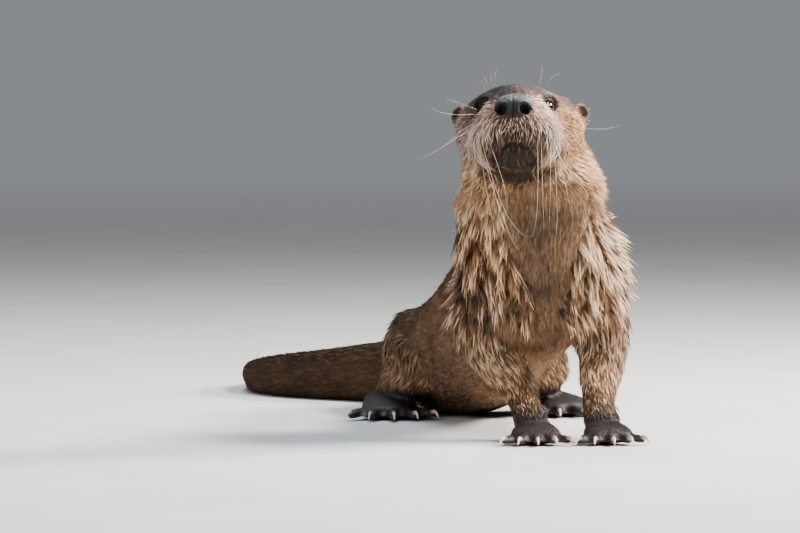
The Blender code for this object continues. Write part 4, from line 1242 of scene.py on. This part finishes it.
def gathered(P, T, L, apart, pull, seed_mask, key):
    """Locks drawn together in bigger clumps: new directions and lengths, and a number from 0 to 1 for each clump."""
    if key not in CENTRES:
        CENTRES[key] = (*scatter(skin.data, apart, seed_mask), RNG.random(9000), RNG.random((9000, 1)))
    C, CN, lots, turns = CENTRES[key]
    tree = kdtree.KDTree(len(C))
    for i, c in enumerate(C):
        tree.insert(c, i)
    tree.balance()
    tree = TREES.setdefault(key, tree)
    found = [tree.find(p) for p in P]
    near, gap = np.array([f[1] for f in found]), np.array([f[2] for f in found])
    CT = Where(C, CN).flow
    swirl = (turns[:len(C)] - 0.5) * 0.5
    CT = unit(CT + np.cross(CN, CT) * swirl)
    target = C[near] + CT[near] * (L * 1.05)[:, None]
    aim = (P + T * L[:, None]) * (1 - pull)[:, None] + target * pull[:, None] - P
    reach = np.linalg.norm(aim, axis=1)
    return aim / reach[:, None], reach.clip(0.75 * L, 1.25 * L), lots[near], gap / apart.mean()


def coat(name, mask, spacing, make, k, segs=2, ragged=0.25, curl=0.0, wave=0.0, pieces=1, clumps=None, material=None, core=None):
    """Grows locks where the mask is, in as many pieces as asked, each with its own map."""
    P, N = scatter(skin.data, spacing, mask)
    if not len(P):
        return
    keep = RNG.random(len(P)) < make(Where(P, N))["density"]
    P, N = P[keep], N[keep]
    if core:
        keep = np.array([TREES[clumps[1]].find(p)[2] for p in P]) < core * clumps[0] * (0.8 + 0.4 * RNG.random(len(P)))
        P, N = P[keep], N[keep]
    w = Where(P, N)
    pale, warm = paleness(w), warmth(w)
    g = make(w)
    turn, far, around = g["turn"], g["far"], g["around"]
    T = unit(g.get("flow", w.flow))
    B = np.cross(N, T)
    sway = g["sway"] * (noise3(P, 0.028, 21, 2) + 0.6 * noise3(P, 0.009, 22, 1)) + 0.16 * (RNG.random(len(P)) - 0.5)
    T = unit(T + B * sway[:, None])
    L = g["L"] * (0.78 + 0.44 * RNG.random(len(P)))
    lift = g["lift"] * (0.75 + 0.5 * RNG.random(len(P)))
    if clumps:
        T, L, lot, gap = gathered(P, T, L, spaced(clumps[0]), g["pull"], mask, clumps[1])
        lift = lift * (0.75 + 0.5 * lot)
        close = (clumps[1] == "trunk") | ((clumps[1] == "legs") & (w.leg_k > 1))
        # locks paler at the middle of each clump and darker towards its edges: painted light and painted shade between
        # the clumps
        pale = pale + 0.10 * (lot - 0.5) * np.where(close, 0.4, 1.0) + (0.32 * smooth(0.62, 0.15, gap) - 0.13) * smooth(0.12, 0.35, pale) * np.where(close, 0.14, 1.0)
    T = unit(T - N * (T * N).sum(1, keepdims=True))
    order = np.argsort(far)
    for i, ids in enumerate(np.array_split(order, pieces)):
        made = grow(P[ids], N[ids], T[ids], L[ids], g["R"][ids], k, g["W"][ids], lift[ids], g["droop"][ids], g["clump"][ids],
                    np.clip(pale[ids] + g["tint"][ids], 0, 1), warm[ids], g["cut"][ids], turn[ids], far[ids], around[ids], segs, ragged, curl, wave)
        label = name if pieces == 1 else "%s_%d" % (name, i + 1)
        ob = write_piece(label, [made], material or COAT)
        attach(ob, "root")
        print("COAT", label, len(ids), "locks", len(made["F"]), "triangles", flush=True)


def even(w, **given):
    n = len(w.p)
    start = dict(density=1.0, sway=0.25, tint=0.0, cut=0.0, pull=0.0, droop=0.08, clump=0.8, around=0.3)
    start.update(given)
    return {k: (np.full(n, float(v)) if np.isscalar(v) else v) for k, v in start.items()}


def torso_chart(w):
    return chart(TORSO, w.p, w.it)


zS, yS, nS = P_SKIN[:, 2], P_SKIN[:, 1], N_SKIN
bare = (W_SKIN.nose < 0.05) & (SCULPT["hole"] < 0.05) & (SCULPT["rho"] > 1.06) & (ear_bowl(W_SKIN) < 0.3)
headness = W_SKIN.head
raggedS = 0.010 * noise3(P_SKIN, 0.016, 41, 2)
neckish = smooth(0.085, 0.110, zS + raggedS) * smooth(-0.190, -0.225, yS + raggedS)
IS_HEAD = (headness > 0.5)
IS_TAIL = (W_SKIN.tail > 0.5) & ~IS_HEAD
legness = smooth(0.3, 0.6, W_SKIN.leg) * smooth(0.095, 0.075, zS + raggedS)
IS_PAW = W_SKIN.paw > 0.6
IS_LEG = (legness > 0.5) & ~IS_TAIL & ~IS_PAW
BAND = throat(W_SKIN)
UNDER_JAW = IS_HEAD & (jaw_edge(W_SKIN) < 0.5) & (BAND > 0.5)
IS_THROAT = (BAND > 0.5) & (~IS_HEAD | UNDER_JAW) & ~IS_LEG
IS_NECK = (neckish > 0.5) & ~IS_HEAD & ~IS_LEG & ~IS_TAIL & ~IS_THROAT
IS_TRUNK = ~IS_HEAD & ~IS_TAIL & ~IS_LEG & ~IS_PAW & ~IS_NECK & ~IS_THROAT
FACE = IS_HEAD & (W_SKIN.h[:, 0] > 2.2) & ~UNDER_JAW
CROWN = IS_HEAD & ~FACE & ~UNDER_JAW


def neck_rule(w):
    turn, far = torso_chart(w)
    z = w.p[:, 2]
    side = smooth(0.2, 0.8, np.abs(w.n[:, 0]))
    top = smooth(0.140, 0.200, z)
    # high on the front the coat is long fine hair that lies close, not yet drawn into locks
    fine = smooth(0.155, 0.185, z) * smooth(0.80, 0.40, np.abs(w.n[:, 0])) * smooth(0.1, -0.3, w.n[:, 1])
    fine = np.maximum(fine, smooth(0.150, 0.175, z) * smooth(0.95, 0.60, -w.n[:, 0]) * (w.n[:, 0] < 0) * smooth(0.1, -0.3, w.n[:, 1]))
    back = smooth(-0.255, -0.200, w.p[:, 1])
    foot = smooth(0.125, 0.095, z)
    L = 0.0205 * (1 - 0.40 * top) * (1 - 0.34 * back) * (1 - 0.16 * foot)
    L = L * (1 - fine) + 0.0150 * fine
    lift = (0.27 + 0.13 * side) * (1 - 0.15 * top) * (1 - 0.2 * back) * (1 - 0.45 * fine) * (1 - 0.15 * foot)
    nape = smooth(-0.15, 0.45, w.n[:, 1] + 0.50 * w.n[:, 2])
    L, lift = L * (1 - 0.32 * nape), lift * (1 - 0.42 * nape)
    stand = smooth(0.45, 0.85, w.n[:, 0]) * smooth(0.14, 0.18, z) * (1 - nape)
    L, lift = L * (1 + 0.15 * stand), lift + 0.10 * stand
    return even(w, L=L, R=0.0027 * (1 - 0.32 * top) * (1 - 0.2 * fine) * (1 - 0.2 * nape), W=0.00066 - 0.00012 * top - 0.00008 * fine, lift=lift, droop=0.10, clump=(0.95 - 0.08 * top) * (1 - 0.35 * fine), turn=turn, far=far, around=0.32,
                sway=(0.45 - 0.15 * top) * (1 - 0.4 * fine), pull=0.78 * (1 - 0.20 * top) * (1 - 0.80 * fine) * (1 - 0.4 * nape), tint=-0.11 + 0.03 * side + 0.07 * fine, cut=np.maximum(0.08 * back + 0.25 * fine, 0.95 * nape))


def neck_tip_rule(w):
    """Paler wisps over the locks."""
    g = neck_rule(w)
    g["R"] = g["R"] * 0.34
    g["W"] = g["W"] * 0.72
    g["lift"] = g["lift"] * 1.12 + 0.02
    g["L"] = g["L"] * 1.04
    g["pull"] = g["pull"] * 1.08
    g["tint"] = g["tint"] + 0.28 * smooth(0.26, 0.46, paleness(w))
    nape = smooth(-0.25, 0.30, w.n[:, 1] + 0.50 * w.n[:, 2])
    g["density"] = 1 - nape
    g["cut"] = 0.9 * nape
    return g


def throat_rule(w):
    turn, far = torso_chart(w)
    return even(w, L=0.0092, R=0.0012, W=0.00042, lift=0.15, droop=0.05, clump=0.60, turn=turn, far=far, around=0.32, sway=0.18, cut=0.6)


def trunk_rule(w):
    turn, far = torso_chart(w)
    belly = smooth(-0.2, -0.7, w.n[:, 2])
    fore = smooth(-0.10, -0.20, w.p[:, 1])
    L = 0.0125 - 0.004 * belly + 0.0030 * fore
    return even(w, L=L, R=0.0024, W=0.00060, lift=0.19 - 0.06 * belly + 0.04 * fore, droop=0.06, clump=0.68, turn=turn, far=far, around=0.36, sway=0.30, pull=0.26, cut=0.76)


def tail_rule(w):
    turn, far = chart(TAILL, w.p, w.ia)
    L = 0.0098 - 0.0035 * smooth(0.20, 0.34, far)
    return even(w, L=L, R=0.0016, W=0.00055, lift=0.18, droop=0.05, clump=0.70, turn=turn, far=far, around=0.15, sway=0.20, cut=0.72)


def leg_rule(w):
    n = len(w.p)
    turn, far = np.zeros(n), np.zeros(n)
    for k, line in enumerate((FORE[-1], FORE[1], HIND[-1], HIND[1])):
        at = w.leg_k == k
        if at.any():
            idx, _ = nearest(w.p[at], line.p)
            a, b = chart(line, w.p[at], idx)
            turn[at] = (k + 0.04 + 0.92 * a) / 4
            far[at] = b
    z = w.p[:, 2]
    fore = (w.leg_k < 2).astype(float)
    up = smooth(0.030, 0.100, z)
    low = 1 - up
    L = (0.0062 + 0.0110 * up) * fore + (0.0060 + 0.0055 * smooth(0.02, 0.05, z)) * (1 - fore)
    return even(w, L=L, R=0.0013 + 0.0010 * up, W=0.00040 + 0.00020 * up * (0.3 + 0.7 * fore), lift=0.22 + 0.04 * up, droop=0.07, clump=0.70 + 0.18 * fore * up, turn=turn, far=far, around=0.40, sway=0.42, pull=0.5 * up * (0.4 + 0.6 * fore), cut=(0.15 + 0.25 * low) * fore + 0.72 * (1 - fore))


def leg_tip_rule(w):
    """Paler strands over the locks of the forearms."""
    g = leg_rule(w)
    g["R"] = g["R"] * 0.36
    g["W"] = g["W"] * 0.75
    g["lift"] = g["lift"] * 1.10 + 0.02
    # strands on the front of the forearms made paler still: painted highlight
    g["tint"] = g["tint"] + 0.26 * smooth(0.2, -0.5, w.n[:, 1]) + 0.08
    g["cut"] = g["cut"] * 0
    g["density"] = smooth(0.016, 0.030, w.p[:, 2])
    return g


def paw_rule(w):
    turn = (w.p[:, 0] + 0.2) / 0.4
    up = smooth(0.012, 0.026, w.p[:, 2])
    return even(w, L=0.0027 + 0.0014 * up, R=0.0007, W=0.00034, lift=0.30, droop=0.08, clump=0.5, turn=turn, far=w.p[:, 1], around=0.4, density=smooth(0.05, 0.5, w.n[:, 2]) * smooth(0.004, 0.009, w.p[:, 2]), tint=-0.02 + 0.03 * up, cut=0.25)


def crown_rule(w):
    turn, far = head_chart(w.h)
    cheek = smooth(0.6, -1.2, w.h[:, 2])
    ear = w.ear
    neckward = np.maximum(smooth(0.2, -2.2, w.h[:, 0]), smooth(-2.6, -5.6, w.h[:, 2]))
    # towards the neck the locks on the otter's left stand out a little
    stand = smooth(0.35, 0.75, w.n[:, 0]) * smooth(-2.4, -4.2, w.h[:, 2])
    L = (0.0052 + 0.0026 * cheek + 0.0042 * neckward + 0.0034 * stand) * (1 - 0.58 * ear)
    return even(w, L=L, R=(0.0009 + 0.0003 * cheek + 0.0006 * neckward + 0.0005 * stand) * (1 - 0.4 * ear), W=(0.00036 + 0.00005 * cheek + 0.00012 * neckward) * (1 - 0.3 * ear), lift=0.25 + 0.03 * cheek - 0.02 * ear + 0.10 * stand, droop=0.06, clump=(0.60 + 0.2 * neckward) * (1 - stand) + 0.94 * stand, tint=-0.06 * stand, turn=turn, far=-far, around=0.28,
                sway=0.15 + 0.15 * cheek, cut=0.45 - 0.25 * cheek)


def face_rule(w):
    turn, far = head_chart(w.h)
    f, r, u = w.h.T
    low = smooth(0.3, -0.8, u)
    muzzle = smooth(4.2, 5.8, f) * low
    top = smooth(5.0, 7.0, f) * (1 - low)
    beneath = smooth(-0.15, -0.45, w.n @ HEAD_M[:, 2]) * smooth(3.0, 4.0, f)
    L = (0.0048 + 0.0022 * low + 0.0012 * muzzle - 0.0014 * top) * (1 - 0.35 * beneath)
    close = smooth(2.0, 0.9, w.eye)
    L = L * (1 - 0.50 * close)
    rim = smooth(8.3, 7.5, f)
    L = L * (0.60 + 0.40 * rim)
    above = smooth(0.9, 0.2, np.abs(u - lip_line(r)) / np.sqrt(1 + np.minimum(np.abs(r), 2.5) ** 2)) * smooth(3.5, 5.0, f) * smooth(-4.6, -3.9, u)
    L = L + 0.0020 * above
    return even(w, L=L, R=(0.0008 + 0.0003 * low) * (1 - 0.4 * close), W=0.00040 + 0.00004 * low, lift=0.25 - 0.03 * low + 0.10 * close, droop=0.07, clump=0.60, turn=turn, far=-far, around=0.24, sway=0.12 + 0.12 * low,
                cut=0.40 * (1 - low), tint=-0.16 * low)


def wisp_rule(w):
    """Pale wisps over the darker hair of the muzzle and cheeks, standing apart."""
    turn, far = head_chart(w.h)
    f, r, u = w.h.T
    low = smooth(0.5, -0.7, u)
    muzzle = smooth(3.6, 5.4, f) * low
    below = smooth(-0.05, 0.22, lip_line(r) - u) * smooth(2.0, 3.6, f) * smooth(2.9, 2.2, np.abs(r))
    close = smooth(2.5, 1.3, w.eye)
    neckward = np.maximum(smooth(0.2, -2.2, f), smooth(-2.6, -5.6, u))
    L = (0.0078 + 0.0030 * (1 - muzzle) * low + 0.0030 * neckward) * (1 - 0.62 * close) * (1 - 0.35 * smooth(0.2, 1.0, u)) * (0.55 + 0.45 * smooth(8.4, 7.3, f)) * (1 + 0.25 * smooth(0.35, 0.75, w.n[:, 0]) * smooth(-2.4, -4.2, u))
    beneath = smooth(-0.15, -0.45, w.n @ HEAD_M[:, 2]) * smooth(3.0, 4.0, f)
    density = (0.35 + 0.65 * low) * (1 - 0.95 * below) * (1 - 0.70 * close) * (1 - 0.8 * w.ear) * (1 - beneath * smooth(0.6, 1.2, np.abs(r)))
    return even(w, L=L, R=0.00050 + 0.00035 * (1 - muzzle), W=0.00038 + 0.00007 * (1 - muzzle), lift=0.17 + 0.06 * low, droop=0.09, clump=0.92, turn=turn, far=-far, around=0.26, sway=0.30,
                density=density, tint=0.06 + 0.31 * muzzle * (1 - below) + 0.12 * below, cut=0.0)


def lid_rule(w):
    """Short dense hair round the eyes, leading away from them."""
    turn, far = head_chart(w.h)
    L = 0.0021 + 0.0012 * smooth(0.9, 2.0, w.eye)
    return even(w, L=L, R=0.0005, W=0.00030, lift=0.26, droop=0.08, clump=0.5, turn=turn, far=-far, around=0.24, sway=0.15, cut=0.45, tint=-0.16 * smooth(1.5, 0.9, w.eye))


def beard_rule(w):
    """Sparse longer hairs that hang from the lips over the mouth and chin."""
    turn, far = head_chart(w.h)
    f, r, u = w.h.T
    d = (u - lip_line(r)) / np.sqrt(1 + np.minimum(np.abs(r), 2.5) ** 2)
    here = smooth(-0.10, 0.10, d) * smooth(1.7, 0.7, d) * smooth(3.4, 4.8, f) * smooth(3.6, 2.8, np.abs(r)) * smooth(-5.1, -4.4, u) * (0.25 + 0.75 * smooth(0.5, 1.5, np.abs(r)))
    jaw = smooth(0.0, -0.4, d) * smooth(3.4, 2.6, np.abs(r)) * smooth(2.0, 3.5, f) * (0.04 + 0.36 * smooth(0.9, 1.9, np.abs(r)))
    down = head_dir((0.0, 0.0, -1.0)) + w.n * 0.1
    out = head_dir(np.stack([0 * r, 0.28 * r / 2.2, 0 * r], 1))
    flow = unit(down + out)
    L = 0.0080 + 0.0060 * smooth(0.6, 2.2, np.abs(r)) - 0.002 * (jaw > here)
    return even(w, L=L, R=0.0009, W=0.00032, lift=0.20, droop=0.16, clump=0.35, turn=turn, far=-far, around=0.24, sway=0.25, density=np.maximum(here, jaw), flow=flow, tint=np.where(here > jaw, 0.25, 0.40 * smooth(0.6, 1.8, np.abs(r)) + 0.08))


def spaced(value):
    return np.full(len(P_SKIN), value)


mark = lambda m: (m & bare).astype(float)
coat("coat_neck", mark(IS_NECK), spaced(0.0034), neck_rule, 11, segs=2, ragged=0.26, curl=0.45, pieces=2, clumps=(0.010, "neck"))
coat("coat_neck_tips", mark(IS_NECK), spaced(0.0020), neck_tip_rule, 3, segs=3, ragged=0.30, curl=0.45, wave=0.08, clumps=(0.010, "neck"), core=0.46)
coat("coat_throat", mark(IS_THROAT), spaced(0.0016), throat_rule, 6, segs=1, ragged=0.3, curl=0.2)
coat("coat_trunk", mark(IS_TRUNK), spaced(0.0027), trunk_rule, 10, segs=1, ragged=0.35, curl=0.5, pieces=2, clumps=(0.011, "trunk"), material=SOFT)
coat("coat_tail", mark(IS_TAIL), spaced(0.0022), tail_rule, 7, segs=1, ragged=0.35, curl=0.4, material=SOFT)
coat("coat_legs", mark(IS_LEG), spaced(0.00235), leg_rule, 9, segs=2, ragged=0.34, curl=0.5, wave=0.06, pieces=2, clumps=(0.009, "legs"))
coat("coat_leg_tips", mark(IS_LEG & (W_SKIN.leg_k < 2)), spaced(0.0024), leg_tip_rule, 3, segs=2, ragged=0.30, curl=0.5, wave=0.06, clumps=(0.009, "legs"))
coat("coat_paws", mark(IS_PAW), spaced(0.0010), paw_rule, 4, segs=1)
coat("coat_crown", mark(CROWN), spaced(0.0015) * (1 - 0.30 * W_SKIN.ear), crown_rule, 7, segs=1, ragged=0.3, curl=0.3)
coat("coat_face", mark(FACE), spaced(0.00120), face_rule, 5, segs=1, ragged=0.3, curl=0.3)
coat("coat_face_wisps", mark(IS_HEAD & ~UNDER_JAW), spaced(0.00165), wisp_rule, 3, segs=2, ragged=0.35, curl=0.45)
coat("coat_eyelids", mark(FACE & (W_SKIN.eye < 2.1) & (SCULPT["rho"] > 1.16)), spaced(0.00075), lid_rule, 3, segs=1, ragged=0.3)
coat("coat_lips", mark(FACE), spaced(0.0015), beard_rule, 2, segs=3, ragged=0.4, curl=0.5, wave=0.05)


# ---------------------------------------------------------------- eyes, claws and whiskers
def make_eye(s):
    """Ball with a raised cornea, looking ahead, out and a little up."""
    at = np.array([EYE_AT[0], EYE_AT[1] * s, EYE_AT[2]])
    out = unit(np.array(EYE_OUT) * [1, s, 1])
    bm = bmesh.new()
    bmesh.ops.create_uvsphere(bm, u_segments=64, v_segments=48, radius=1)
    me = bpy.data.meshes.new("eye")
    bm.to_mesh(me)
    bm.free()
    p = points_of(me)
    c = p[:, 2]
    ang = np.arccos(c.clip(-1, 1))
    bulge = 0.05 * smooth(0.95, 0.35, ang)
    p = p * (1 + bulge)[:, None] * EYE_R
    z = Vector(head_dir(out)[0])
    turn = z.to_track_quat("Z", "Y").to_matrix()
    p = p @ np.array(turn).T + np.array(head_point(*at)) + SHIFT
    put_points(me, p)
    floats(me, "ring", ang / 1.35)
    me.shade_smooth()
    me.materials.append(EYE)
    ob = bpy.data.objects.new("eyeball_" + ("left" if s > 0 else "right"), me)
    bpy.context.scene.collection.objects.link(ob)
    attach(ob, "root")
    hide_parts("eye_" + ("left" if s > 0 else "right"))
    return ob


EYE = eye_material()
for s in (-1, 1):
    make_eye(s)

HORN = claw_material()
for i, ((root, tip, mid), r) in enumerate(claw_at):
    back = root + (root - mid).normalized() * 0.0022
    rows = [(*back, r, r * 1.15, r * 1.15), (*mid, r * 0.74, r * 0.9, r * 0.9), (*tip, r * 0.26, r * 0.3, r * 0.3)]
    claw = loft("claw_%02d" % (i + 1), rows, rings=14, sides=16, square=2.0)
    claw.data.transform(Matrix.Translation(AT_ORIGIN))
    way = np.array(tip - back)
    q = (points_of(claw.data) - np.array(back) - SHIFT) @ way / (way @ way)
    floats(claw.data, "along", q.clip(0, 1))
    claw.data.shade_smooth()
    claw.data.materials.append(HORN)
    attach(claw, "root")


def tube(name, paths, widths, material, sides=6, rings=14):
    """Tapered curved hairs through their points, as one closed mesh each, joined in one object."""
    V, F, A = [], [], []
    at = 0
    for path, wide in zip(paths, widths):
        rows = spline(np.array([(*p, 0.0) for p in path]), rings)[:, :3]
        t = unit(np.gradient(rows, axis=0))
        side = unit(np.cross(t, np.array([0.13, 0.31, 0.94])))
        over = np.cross(t, side)
        q = np.linspace(0, 1, rings)
        rad = wide / 2 * (1 - 0.82 * q**1.3)
        a = np.linspace(0, 2 * math.pi, sides, endpoint=False)
        ring = rows[:, None] + rad[:, None, None] * (np.cos(a)[None, :, None] * side[:, None] + np.sin(a)[None, :, None] * over[:, None])
        V.append(ring.reshape(-1, 3))
        V.append(rows[:1])
        V.append(rows[-1:] + t[-1:] * wide)
        A += np.repeat(q, sides).tolist() + [0.0, 1.0]
        for i in range(rings - 1):
            for j in range(sides):
                a0, a1 = at + i * sides + j, at + i * sides + (j + 1) % sides
                F.append((a0, a1, a1 + sides, a0 + sides))
        low, top = at + rings * sides, at + rings * sides + 1
        for j in range(sides):
            F.append((at + (j + 1) % sides, at + j, low))
            b = at + (rings - 1) * sides
            F.append((b + j, b + (j + 1) % sides, top))
        at += rings * sides + 2
    me = bpy.data.meshes.new(name)
    me.from_pydata(np.concatenate(V).tolist(), [], F)
    me.update()
    floats(me, "along", A)
    me.shade_smooth()
    me.materials.append(material)
    ob = bpy.data.objects.new(name, me)
    bpy.context.scene.collection.objects.link(ob)
    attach(ob, "root")
    return ob


def on_skin(f, r, u):
    """The skin's vertex nearest a point given in head axes, cm."""
    h = W_SKIN.h
    i = ((h - np.array([f, r, u])) ** 2).sum(1).argmin()
    return P_SKIN[i] - N_SKIN[i] * 0.0008, N_SKIN[i]


# each whisker: root on the head (cm), a point it passes and its tip (metres ahead of the neck's root, sideways and up in the frame)
WHISKERS = [
    ((6.3, -2.55, -1.9), (-0.0770, -0.1020, 0.2285), (-0.0905, -0.0960, 0.2222), 0.55),
    ((5.2, -2.95, 0.10), (-0.0640, -0.0800, 0.2660), (-0.0700, -0.0700, 0.2681), 0.42),
    ((5.6, -2.80, -0.50), (-0.0700, -0.0930, 0.2560), (-0.0810, -0.0860, 0.2615), 0.55),
    ((5.9, -2.70, -1.30), (-0.0640, -0.0950, 0.2390), (-0.0730, -0.0880, 0.2307), 0.38),
    ((6.5, 2.35, -1.5), (0.0400, -0.1000, 0.2440), (0.0640, -0.0880, 0.2485), 0.36),
    ((6.4, 2.40, -2.1), (0.0180, -0.1180, 0.2180), (0.0420, -0.1020, 0.2014), 0.50),
    ((6.2, 2.60, -1.8), (0.0200, -0.1120, 0.2360), (0.0310, -0.1020, 0.2284), 0.42),
    ((7.0, -2.05, -2.4), (-0.0262, -0.1250, 0.1830), (-0.0072, -0.1160, 0.1636), 0.52),
    ((6.8, -2.20, -2.6), (-0.0250, -0.1270, 0.1730), (-0.0140, -0.1150, 0.1540), 0.52),
    ((6.6, -2.35, -2.3), (-0.0370, -0.1220, 0.1880), (-0.0315, -0.1140, 0.1636), 0.45),
    ((7.1, 1.50, -2.6), (-0.0004, -0.1270, 0.1760), (-0.0078, -0.1170, 0.1636), 0.50),
    ((7.0, 1.75, -2.5), (0.0040, -0.1260, 0.1880), (0.0044, -0.1160, 0.1690), 0.42),
    ((6.9, 1.95, -2.4), (0.0092, -0.1250, 0.1860), (0.0076, -0.1140, 0.1674), 0.40),
    ((6.8, 2.15, -2.5), (0.0152, -0.1230, 0.1800), (0.0113, -0.1150, 0.1567), 0.46),
    ((6.6, 2.35, -2.4), (0.0220, -0.1200, 0.1960), (0.0272, -0.1080, 0.1773), 0.42),
    ((6.4, -2.45, -2.4), (-0.0510, -0.1150, 0.1850), (-0.0658, -0.1020, 0.1670), 0.42),
    ((7.0, -1.75, -2.6), (-0.0230, -0.1280, 0.1960), (-0.0260, -0.1210, 0.1760), 0.40),
    ((6.2, -2.70, -2.1), (-0.0560, -0.1100, 0.2080), (-0.0640, -0.1020, 0.1920), 0.40),
    ((4.2, -1.75, 1.55), (-0.0325, -0.0770, 0.2860), (-0.0318, -0.0720, 0.2915), 0.40),
    ((4.0, -2.35, 1.35), (-0.0415, -0.0740, 0.2795), (-0.0450, -0.0700, 0.2810), 0.34),
    ((4.2, -2.15, 1.45), (-0.0390, -0.0745, 0.2815), (-0.0415, -0.0700, 0.2840), 0.34),
    ((4.3, -1.95, 1.50), (-0.0350, -0.0750, 0.2830), (-0.0368, -0.0720, 0.2865), 0.32),
    ((4.2, 1.75, 1.55), (0.0025, -0.0760, 0.2860), (0.0033, -0.0710, 0.2920), 0.40),
    ((4.1, 2.15, 1.45), (0.0100, -0.0740, 0.2840), (0.0170, -0.0680, 0.2870), 0.34),
]
paths, widths = [], []
for (f, r, u), via, tip, mm in WHISKERS:
    root, way = on_skin(f, r, u)
    a, m, b = root, np.array(via) + SHIFT, np.array(tip) + SHIFT
    q = np.linspace(0, 1, 7)[:, None]
    # one smooth arc through the middle point
    c2 = 1.65 * m - 0.65 * (a + b) / 2
    paths.append(list((1 - q) ** 2 * a + 2 * (1 - q) * q * c2 + q**2 * b))
    widths.append(mm * 0.58 / 1000)
tube("whiskers", paths, widths, whisker_material())


# ---------------------------------------------------------------- floor, backdrop, light and camera
SKY, SKY_POWER = (0.84, 0.88, 0.94), 0.30


def stage_material():
    """A pale floor that passes into the light of the room a few metres out, so that it has no edge."""
    m, t, b = nodes_of("studio_floor")
    col = ramp(t, noise(t, 9.0, 3.0), [(0.3, (0.46, 0.456, 0.446)), (0.7, (0.50, 0.496, 0.484))])
    far = add(t, "ShaderNodeVectorMath", operation="LENGTH")
    t.links.new(add(t, "ShaderNodeTexCoord").outputs["Object"], far.inputs[0])
    fade = add(t, "ShaderNodeMapRange", interpolation_type="SMOOTHSTEP")
    t.links.new(far.outputs["Value"], fade.inputs[0])
    fade.inputs[1].default_value, fade.inputs[2].default_value = 1.2, 8.0
    t.links.new(mix(t, fade.outputs[0], col, (0.0, 0.0, 0.0)), b.inputs["Base Color"])
    b.inputs["Roughness"].default_value = 0.8
    b.inputs["Specular IOR Level"].default_value = 0.0
    b.inputs["Emission Color"].default_value = (*SKY, 1)
    t.links.new(math_node(t, "MULTIPLY", fade.outputs[0], SKY_POWER), b.inputs["Emission Strength"])
    return m


bm = bmesh.new()
bmesh.ops.create_circle(bm, cap_ends=True, segments=96, radius=60)
floor = finish("floor", bm)
floor.data.shade_smooth()
floor.data.materials.append(stage_material())

world = bpy.data.worlds.new("studio")
bpy.context.scene.world = world
world.use_nodes = True
world.node_tree.nodes["Background"].inputs[0].default_value = (*SKY, 1)
world.node_tree.nodes["Background"].inputs[1].default_value = SKY_POWER


def light(name, at, size, power, rgb=(1, 1, 1), to=(0.0, -0.15, 0.14)):
    data = bpy.data.lights.new(name, "AREA")
    data.shape, data.size, data.energy, data.color = "DISK", size, power, rgb
    ob = bpy.data.objects.new(name, data)
    bpy.context.scene.collection.objects.link(ob)
    ob.location = at
    ob.rotation_mode = "QUATERNION"
    ob.rotation_quaternion = (Vector(to) - Vector(at)).to_track_quat("-Z", "Y")


light("key", (1.20, -0.85, 1.70), 0.45, 120, (1.0, 0.94, 0.86))
light("rim", (1.45, 0.10, 0.95), 0.50, 112, (1.0, 0.95, 0.88))
light("top", (-0.25, 0.45, 2.1), 1.1, 58, (0.76, 0.86, 1.0))
light("fill", (-1.5, -2.0, 1.3), 1.4, 36, (1.0, 0.97, 0.95))

cam = bpy.data.cameras.new("camera")
cam_ob = bpy.data.objects.new("camera", cam)
bpy.context.scene.collection.objects.link(cam_ob)
bpy.context.scene.camera = cam_ob
FAR, TILT = 4.2, math.radians(2.5)
aim = Vector((0, -0.03, 0.14)) + AT_ORIGIN
cam_ob.location = aim + Vector((0, -math.cos(TILT), math.sin(TILT))) * FAR
cam_ob.rotation_mode = "QUATERNION"
cam_ob.rotation_quaternion = (aim - cam_ob.location).to_track_quat("-Z", "Y")
cam.sensor_width = 36
cam.lens = 36 * FAR * 1296 / 800
cam.shift_x = -(538 - 400) / 800
cam.shift_y = (263.6 - 266.5) / 800
